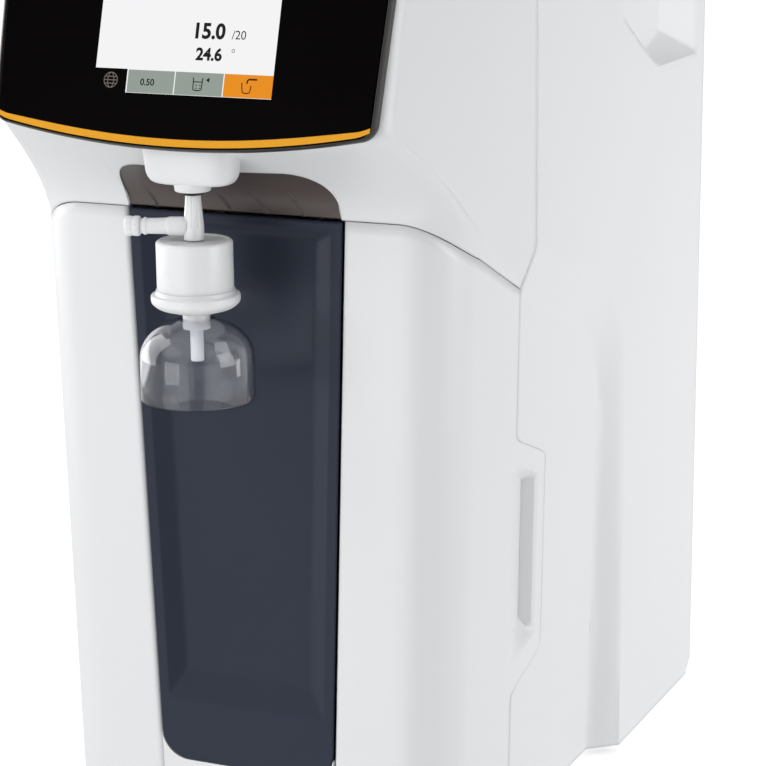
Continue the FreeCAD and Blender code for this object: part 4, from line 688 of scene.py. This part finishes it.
rim_profile = rounded([(-0.3, 1.2), (0.0, 0.3), (0.7, GLASS_DEPTH), (2.4, 1.9), (2.4, 4.9), (-3.0, 4.9),
                       (-3.0, 2.9), (-0.3, 2.9), (-0.3, 1.2)], [0, 0.2, 0.4, 0.5, 0.3, 0, 0, 0.2, 0], 6)
skin("display_rim", band(rim_profile), "housing", grey_rim, ["display_bezel"], wrap=True)

# %% Glass and stripe
glass_profile = rounded([(-200.0, GLASS_DEPTH), (-1.0, GLASS_DEPTH), (-0.35, 0.9), (-0.35, 2.6)],
                        [0, 0.6, 0.4, 0], 5)
rings = []
for reach, depth in glass_profile:
    if reach < -100:
        rings.append(on_display(0 * loop[:, 0], 0 * loop[:, 1] + 30.0, depth))
    else:
        place = loop + away * reach
        rings.append(on_display(place[:, 0], place[:, 1], depth))
skin("display_pane", np.stack(rings, axis=1), "housing", black_glass, ["display_glass"],
     wrap=True)
x = np.linspace(-110.2, 110.2, 160)[:, None]
low = big - GLASS_FOOT - np.sqrt(big ** 2 - x ** 2) + 0.9 + 1.4 * np.clip((np.abs(x) - 102.0) / 8.0, 0, 1) ** 2
width = np.array([0.0, 0.04, 0.96, 1.0])[None, :] * (3.9 - 1.3 * (np.abs(x) / 109.0) ** 6)
stripe = on_display(x + 0 * width, low + width, np.array([GLASS_DEPTH, 0.1, 0.1, GLASS_DEPTH])[None, :])
skin("display_stripe", stripe, "housing", orange_stripe, ["accent_stripe"])

# %% [markdown]
# The screen itself is lit from behind, so its white field and keys give off light at a
# strength that renders as they are seen. It shows only plain figures and simple signs.

# %% Screen fields and keys
def lit(name, colour, strength=1.0):
    """An emitting finish with faint pixel rows in its brightness."""
    material = bpy.data.materials.new(name)
    material.use_nodes = True
    nodes, links = material.node_tree.nodes, material.node_tree.links
    shader = nodes["Principled BSDF"]
    shader.inputs["Base Color"].default_value = (0.01, 0.01, 0.01, 1)
    shader.inputs["Roughness"].default_value = 0.2
    shader.inputs["Specular IOR Level"].default_value = 0.1
    shader.inputs["Emission Strength"].default_value = strength
    where = nodes.new("ShaderNodeTexCoord")
    wave = nodes.new("ShaderNodeTexWave")
    wave.inputs["Scale"].default_value = 900.0
    tone = nodes.new("ShaderNodeMix")
    tone.data_type = "RGBA"
    tone.inputs["A"].default_value = (*[c * 0.97 for c in colour], 1)
    tone.inputs["B"].default_value = (*colour, 1)
    links.new(where.outputs["Object"], wave.inputs["Vector"])
    links.new(wave.outputs["Fac"], tone.inputs["Factor"])
    links.new(tone.outputs["Result"], shader.inputs["Emission Color"])
    return material


screen_white = lit("screen_white", (0.905, 0.905, 0.915))
key_green = lit("key_green", (0.29, 0.336, 0.297))
key_orange = lit("key_orange", (0.81, 0.268, 0.006))
ink_black = plastic("ink_black", (0.010, 0.010, 0.010), rough=0.4, specular=0.1)
ink_dim = lit("ink_dim", (0.16, 0.125, 0.11))


def field(name, x0, x1, l0, l1, finish, lift):
    """A thin tile on the display between two places across and two up."""
    x, up = np.array([x0, x0, x1, x1]), np.array([l0, l1, l1, l0])
    top, base = on_display(x, up, GLASS_DEPTH - lift), on_display(x, up, GLASS_DEPTH)
    quads = np.array([[0, 3, 2, 1], [4, 5, 6, 7], [0, 1, 5, 4], [1, 2, 6, 5], [2, 3, 7, 6], [3, 0, 4, 7]])
    return make_piece(name, np.concatenate([top, base]), quads, "housing", finish)


field("screen_field", -52.2, 52.9, 12.6, 78.0, screen_white, 0.05)
field("key_dividers", -32.9, 52.9, 0.1, 12.6, screen_white, 0.05)
field("key_left", -32.2, -4.5, 0.3, 12.3, key_green, 0.08)
field("key_middle", -3.9, 24.2, 0.3, 12.3, key_green, 0.08)
field("key_right", 24.8, 52.9, 0.3, 12.3, key_orange, 0.08)


# %% Figures and signs
def figures(name, text, size, left, foot, finish, weight, lift=0.1):
    """Plain figures as a mesh, laid on the display with their foot at a height."""
    curve = bpy.data.curves.new(name, "FONT")
    curve.body = text
    curve.size = size
    curve.offset = size * weight
    curve.resolution_u = 4
    holder = bpy.data.objects.new(name + "_curve", curve)
    bpy.context.scene.collection.objects.link(holder)
    bpy.context.view_layer.update()
    flat = bpy.data.meshes.new_from_object(holder)
    count = len(flat.vertices)
    flat_points = np.empty(count * 3)
    flat.vertices.foreach_get("co", flat_points)
    flat_points = flat_points.reshape(-1, 3)
    placed = to_metres(on_display(flat_points[:, 0] + left, flat_points[:, 1] + foot, GLASS_DEPTH - lift))
    flat.vertices.foreach_set("co", placed.ravel())
    flat.materials.clear()
    flat.materials.append(finish)
    piece = bpy.data.objects.new(name, flat)
    bpy.context.scene.collection.objects.link(piece)
    bpy.data.objects.remove(holder)
    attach(piece, "housing")
    return piece


figures("reading_large", "15.0", 11.2, 3.2, 30.4, ink_black, 0.035)
figures("reading_limit", "/20", 6.6, 26.4, 30.4, ink_black, 0.0)
figures("reading_small", "24.6", 8.9, 6.6, 19.0, ink_black, 0.035)
figures("key_figure", "0.50", 4.9, -24.6, 4.4, ink_black, 0.02)


def stroke(name, path, width, finish, lift=0.1):
    """A flat line of even width along a path on the display."""
    path = np.array(path, dtype=float)
    ahead = np.gradient(path, axis=0)
    side = np.stack([-ahead[:, 1], ahead[:, 0]], axis=-1) / np.linalg.norm(ahead, axis=1)[:, None] * width / 2
    place = np.stack([path + side, path - side], axis=1)
    line = on_display(place[..., 0], place[..., 1], GLASS_DEPTH - lift)
    return skin(name, line, "housing", finish)


MENU_X, MENU_Y, MENU_R = -42.4, 6.4, 4.0
a = np.linspace(0, 2 * math.pi, 33)
stroke("degree_ring", np.stack([28.2 + 0.8 * np.cos(a), 24.3 + 0.8 * np.sin(a)], axis=-1), 0.3, ink_black)
for k, squeeze in enumerate((1.0, 0.45)):
    ring = np.stack([MENU_X + MENU_R * squeeze * np.cos(a), MENU_Y + MENU_R * np.sin(a)], axis=-1)
    stroke(f"menu_ring_{k}", ring, 0.5, ink_dim)
for k, up in enumerate((4.6, 6.4, 8.2)):
    half_bar = math.sqrt(MENU_R ** 2 - (up - MENU_Y) ** 2)
    stroke(f"menu_bar_{k}", [(MENU_X - half_bar, up), (MENU_X, up), (MENU_X + half_bar, up)], 0.5, ink_dim)
stroke("beaker_wall", [(6.6, 9.6), (6.9, 8.8), (6.9, 5.8), (7.1, 3.3), (8.6, 2.9), (10.4, 2.9), (11.9, 3.3),
                       (12.1, 5.8), (12.1, 8.8), (12.4, 9.6)], 0.6, ink_black)
stroke("beaker_level", [(7.2, 7.4), (9.5, 7.4), (11.8, 7.4)], 0.5, ink_black)
for k in range(4):
    across = 8.4 + 2.2 * (k % 2)
    stroke(f"beaker_dot_{k}", [(across, 5.6 - k // 2 * 1.5), (across + 0.4, 5.6 - k // 2 * 1.5),
                               (across + 0.8, 5.6 - k // 2 * 1.5)], 0.5, ink_black)
make_piece("beaker_arrow", on_display(np.array([14.2, 16.2, 16.2]), np.array([8.6, 9.9, 7.3]), 0.15),
           np.array([[0, 2, 1]]), "housing", ink_black)
stroke("glass_wall", [(35.2, 8.0), (35.5, 5.2), (36.0, 2.9), (38.0, 2.6), (40.0, 2.9), (40.5, 5.2),
                      (40.6, 6.6)], 0.6, ink_black)
stroke("tap_arm", [(38.2, 7.6), (38.3, 9.2), (39.2, 9.9), (41.4, 9.9), (43.8, 9.9)], 0.9, ink_black)

# %% [markdown]
# ## Carried-over pieces
# The other solids keep their shape from the model and only need their finish.

# %% Finishes for the carried-over solids
finish_of = {
    "base_tray": base_plastic, "front_sill": white_shell, "rubber_feet": rubber,
    "capsule_neck": milky_plastic,
    "hinge_pins": steel, "left_catch_plate": steel, "right_catch_plate": steel, "door_magnets": inner_black,
    "polishing_cartridge": cartridge_shell, "softening_cartridge": cartridge_shell,
    "polishing_head": inner_black, "softening_head": inner_black, "inner_frame": zinc_sheet,
    "rear_panel": zinc_sheet, "rear_panel_screws": steel, "feed_pump": inner_black, "uv_chamber": steel,
    "uv_lamp": lamp_glass, "power_supply": aluminium, "manifold_block": manifold_plastic,
    "conductivity_cells": inner_black, "dispense_valve": inner_black, "leak_sensor": inner_black,
    "controller_board": board_green, "lcd_panel": inner_black, "mains_inlet": inner_black,
    "mains_rocker": inner_black, "inlet_blades": steel, "data_port": inner_black,
    "feed_fitting": manifold_plastic, "drain_fitting": manifold_plastic, "feed_hose": milky_plastic,
    "drain_hose": milky_plastic, "outlet_hose": milky_plastic,
}
for node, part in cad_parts.items():
    if node in finish_of:
        part.data.materials.clear()
        part.data.materials.append(finish_of[node])
print("carried over", sum(node in finish_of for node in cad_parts))

# %% [markdown]
# ## Stage, light and camera
# A white sheet lies under the machine. The world lights it softly from all sides, and shows
# as pure white to the camera. A large lamp from the upper left and two low ones, in front and at
# the right, model the forms.

# %% The floor
AMBIENT, FLOOR_GLOW = 0.6, 0.8


def floor_material():
    """White floor: emission plus diffuse to the camera, a steady glow to diffuse rays, clear to glossy."""
    material = bpy.data.materials.new("studio_floor")
    material.use_nodes = True
    nodes, links = material.node_tree.nodes, material.node_tree.links
    shader = nodes["Principled BSDF"]
    shader.inputs["Base Color"].default_value = (0.93, 0.93, 0.93, 1)
    shader.inputs["Roughness"].default_value = 0.9
    shader.inputs["Specular IOR Level"].default_value = 0.0
    shader.inputs["Emission Color"].default_value = (1, 1, 1, 1)
    shader.inputs["Emission Strength"].default_value = 0.5
    path = nodes.new("ShaderNodeLightPath")
    clear = nodes.new("ShaderNodeBsdfTransparent")
    bounce = nodes.new("ShaderNodeEmission")
    bounce.inputs["Strength"].default_value = FLOOR_GLOW
    last = shader.outputs["BSDF"]
    for ray, other in (("Is Glossy Ray", clear.outputs["BSDF"]),
                       ("Is Diffuse Ray", bounce.outputs["Emission"])):
        blend = nodes.new("ShaderNodeMixShader")
        links.new(path.outputs[ray], blend.inputs["Fac"])
        links.new(last, blend.inputs[1])
        links.new(other, blend.inputs[2])
        last = blend.outputs["Shader"]
    links.new(last, nodes["Material Output"].inputs["Surface"])
    return material


floor_mesh = bpy.data.meshes.new("studio_floor")
floor_mesh.from_pydata([(-30, -30, 0), (30, -30, 0), (30, 30, 0), (-30, 30, 0)], [], [(0, 1, 2, 3)])
floor_mesh.materials.append(floor_material())
floor = bpy.data.objects.new("studio_floor", floor_mesh)
bpy.context.scene.collection.objects.link(floor)

# %% World and lamps
world = bpy.data.worlds.new("studio")
bpy.context.scene.world = world
world.use_nodes = True
nodes, links = world.node_tree.nodes, world.node_tree.links
backdrop = nodes["Background"]
backdrop.inputs["Color"].default_value = (1, 1, 1, 1)


def maths(operation, first, second):
    """A maths node whose inputs are sockets or plain numbers."""
    node = nodes.new("ShaderNodeMath")
    node.operation = operation
    for socket, value in zip(node.inputs, (first, second)):
        if isinstance(value, (int, float)):
            socket.default_value = value
        else:
            links.new(value, socket)
    return node.outputs["Value"]


def soft_box(azimuth, half, low, high, strength, edge=0.05):
    """Strength inside a window of azimuth and elevation, with soft edges, and 0 outside."""
    wide = maths("SUBTRACT", half, maths("ABSOLUTE", maths("SUBTRACT", heading, azimuth), 0.0))
    above, below = maths("SUBTRACT", rise, low), maths("SUBTRACT", high, rise)
    least = maths("MINIMUM", wide, maths("MINIMUM", above, below))
    inside = maths("MINIMUM", maths("MAXIMUM", maths("DIVIDE", least, edge), 0.0), 1.0)
    return maths("MULTIPLY", inside, strength)


# Azimuth runs from -pi to pi with 0 towards the camera, and elevation is the height's arcsine.
where = nodes.new("ShaderNodeTexCoord")
turned_view = nodes.new("ShaderNodeVectorRotate")
turned_view.rotation_type = "Z_AXIS"
turned_view.inputs["Angle"].default_value = -0.4248
links.new(where.outputs["Generated"], turned_view.inputs["Vector"])
parts = nodes.new("ShaderNodeSeparateXYZ")
links.new(turned_view.outputs["Vector"], parts.inputs["Vector"])
heading = maths("ARCTAN2", parts.outputs["X"], maths("MULTIPLY", parts.outputs["Y"], -1.0))
rise = maths("ARCSINE", parts.outputs["Z"], 0.0)
# Each soft box: azimuth, half width, lowest, highest, strength and soft edge.
glossy = 0.15
for box in ((0.0, 4.0, -1.7, 0.05, 0.65, 0.1), (0.0, 0.27, -1.7, 0.4, -0.7, 0.06),
            (-0.5, 0.23, -1.2, 0.55, 0.5, 0.06), (-0.75, 0.48, -1.2, 0.55, 0.5, 0.3),
            (0.6, 0.33, -1.2, 0.12, 0.35, 0.05), (1.15, 0.32, -0.2, 0.6, 5.5, 0.06),
            (0.0, 4.0, 0.5, 1.7, 1.0, 0.15), (-2.0, 0.5, -0.2, 0.95, 4.0, 0.05)):
    glossy = maths("ADD", soft_box(*box), glossy)
path = nodes.new("ShaderNodeLightPath")
clear = maths("MAXIMUM", path.outputs["Is Camera Ray"], path.outputs["Is Transmission Ray"])
shiny = maths("MULTIPLY", path.outputs["Is Glossy Ray"], maths("SUBTRACT", 1.0, clear))
plain = maths("SUBTRACT", 1.0, maths("MAXIMUM", clear, shiny))
total = maths("ADD", clear, maths("MULTIPLY", shiny, glossy))
total = maths("ADD", total, maths("MULTIPLY", plain, AMBIENT))
links.new(total, backdrop.inputs["Strength"])


def lamp(name, place, target, size, energy):
    """A square area lamp that looks at a target."""
    data = bpy.data.lights.new(name, "AREA")
    data.size = size
    data.energy = energy
    holder = bpy.data.objects.new(name, data)
    place, target = np.array(place), np.array(target)
    back = (place - target) / np.linalg.norm(place - target)
    side = np.cross((0, 0, 1), back)
    side /= np.linalg.norm(side)
    matrix = np.eye(4)
    matrix[:3, :3] = np.stack([side, np.cross(back, side), back], axis=1)
    matrix[:3, 3] = place
    holder.matrix_world = Matrix(matrix.tolist())
    holder.visible_glossy = holder.visible_camera = False
    bpy.context.scene.collection.objects.link(holder)
    return holder


lamp("key", (-1.3, -1.9, 2.0), (0, 0, 0.3), 1.6, 11.5)
lamp("side", (1.1, 0.5, 0.12), (0, 0.05, 0.2), 0.5, 5.3)
lamp("front", (-0.6, -1.45, 0.12), (0, 0, 0.2), 0.8, 7.6)

# %% The camera at the photograph's angle
camera_data = bpy.data.cameras.new("camera")
camera = bpy.data.objects.new("camera", camera_data)
bpy.context.scene.collection.objects.link(camera)
EYE, SENSOR, PICTURE_WIDTH = [634.06, -1201.06, 629.54], 36.0, 776.0
FOCAL_PIXELS = math.exp(7.828362)
yaw, pitch, roll = 0.424014, 0.243258, -0.010036
forward = np.array([-math.sin(yaw), math.cos(yaw), 0.0])
right_hand = np.array([math.cos(yaw), math.sin(yaw), 0.0])
upward = np.array([0.0, 0.0, 1.0])
look = forward * math.cos(pitch) - upward * math.sin(pitch)
lift = upward * math.cos(pitch) + forward * math.sin(pitch)
across_view = right_hand * math.cos(roll) + lift * math.sin(roll)
up_view = lift * math.cos(roll) - right_hand * math.sin(roll)
matrix = np.eye(4)
matrix[:3, :3] = np.stack([across_view, up_view, -look], axis=1)
matrix[:3, 3] = to_metres(EYE)
camera.matrix_world = Matrix(matrix.tolist())
camera_data.sensor_width = SENSOR
camera_data.lens = FOCAL_PIXELS * SENSOR / PICTURE_WIDTH
camera_data.clip_end = 100.0
bpy.context.scene.camera = camera
bpy.context.scene.view_settings.view_transform = "Standard"
print("lens", round(camera_data.lens, 2))
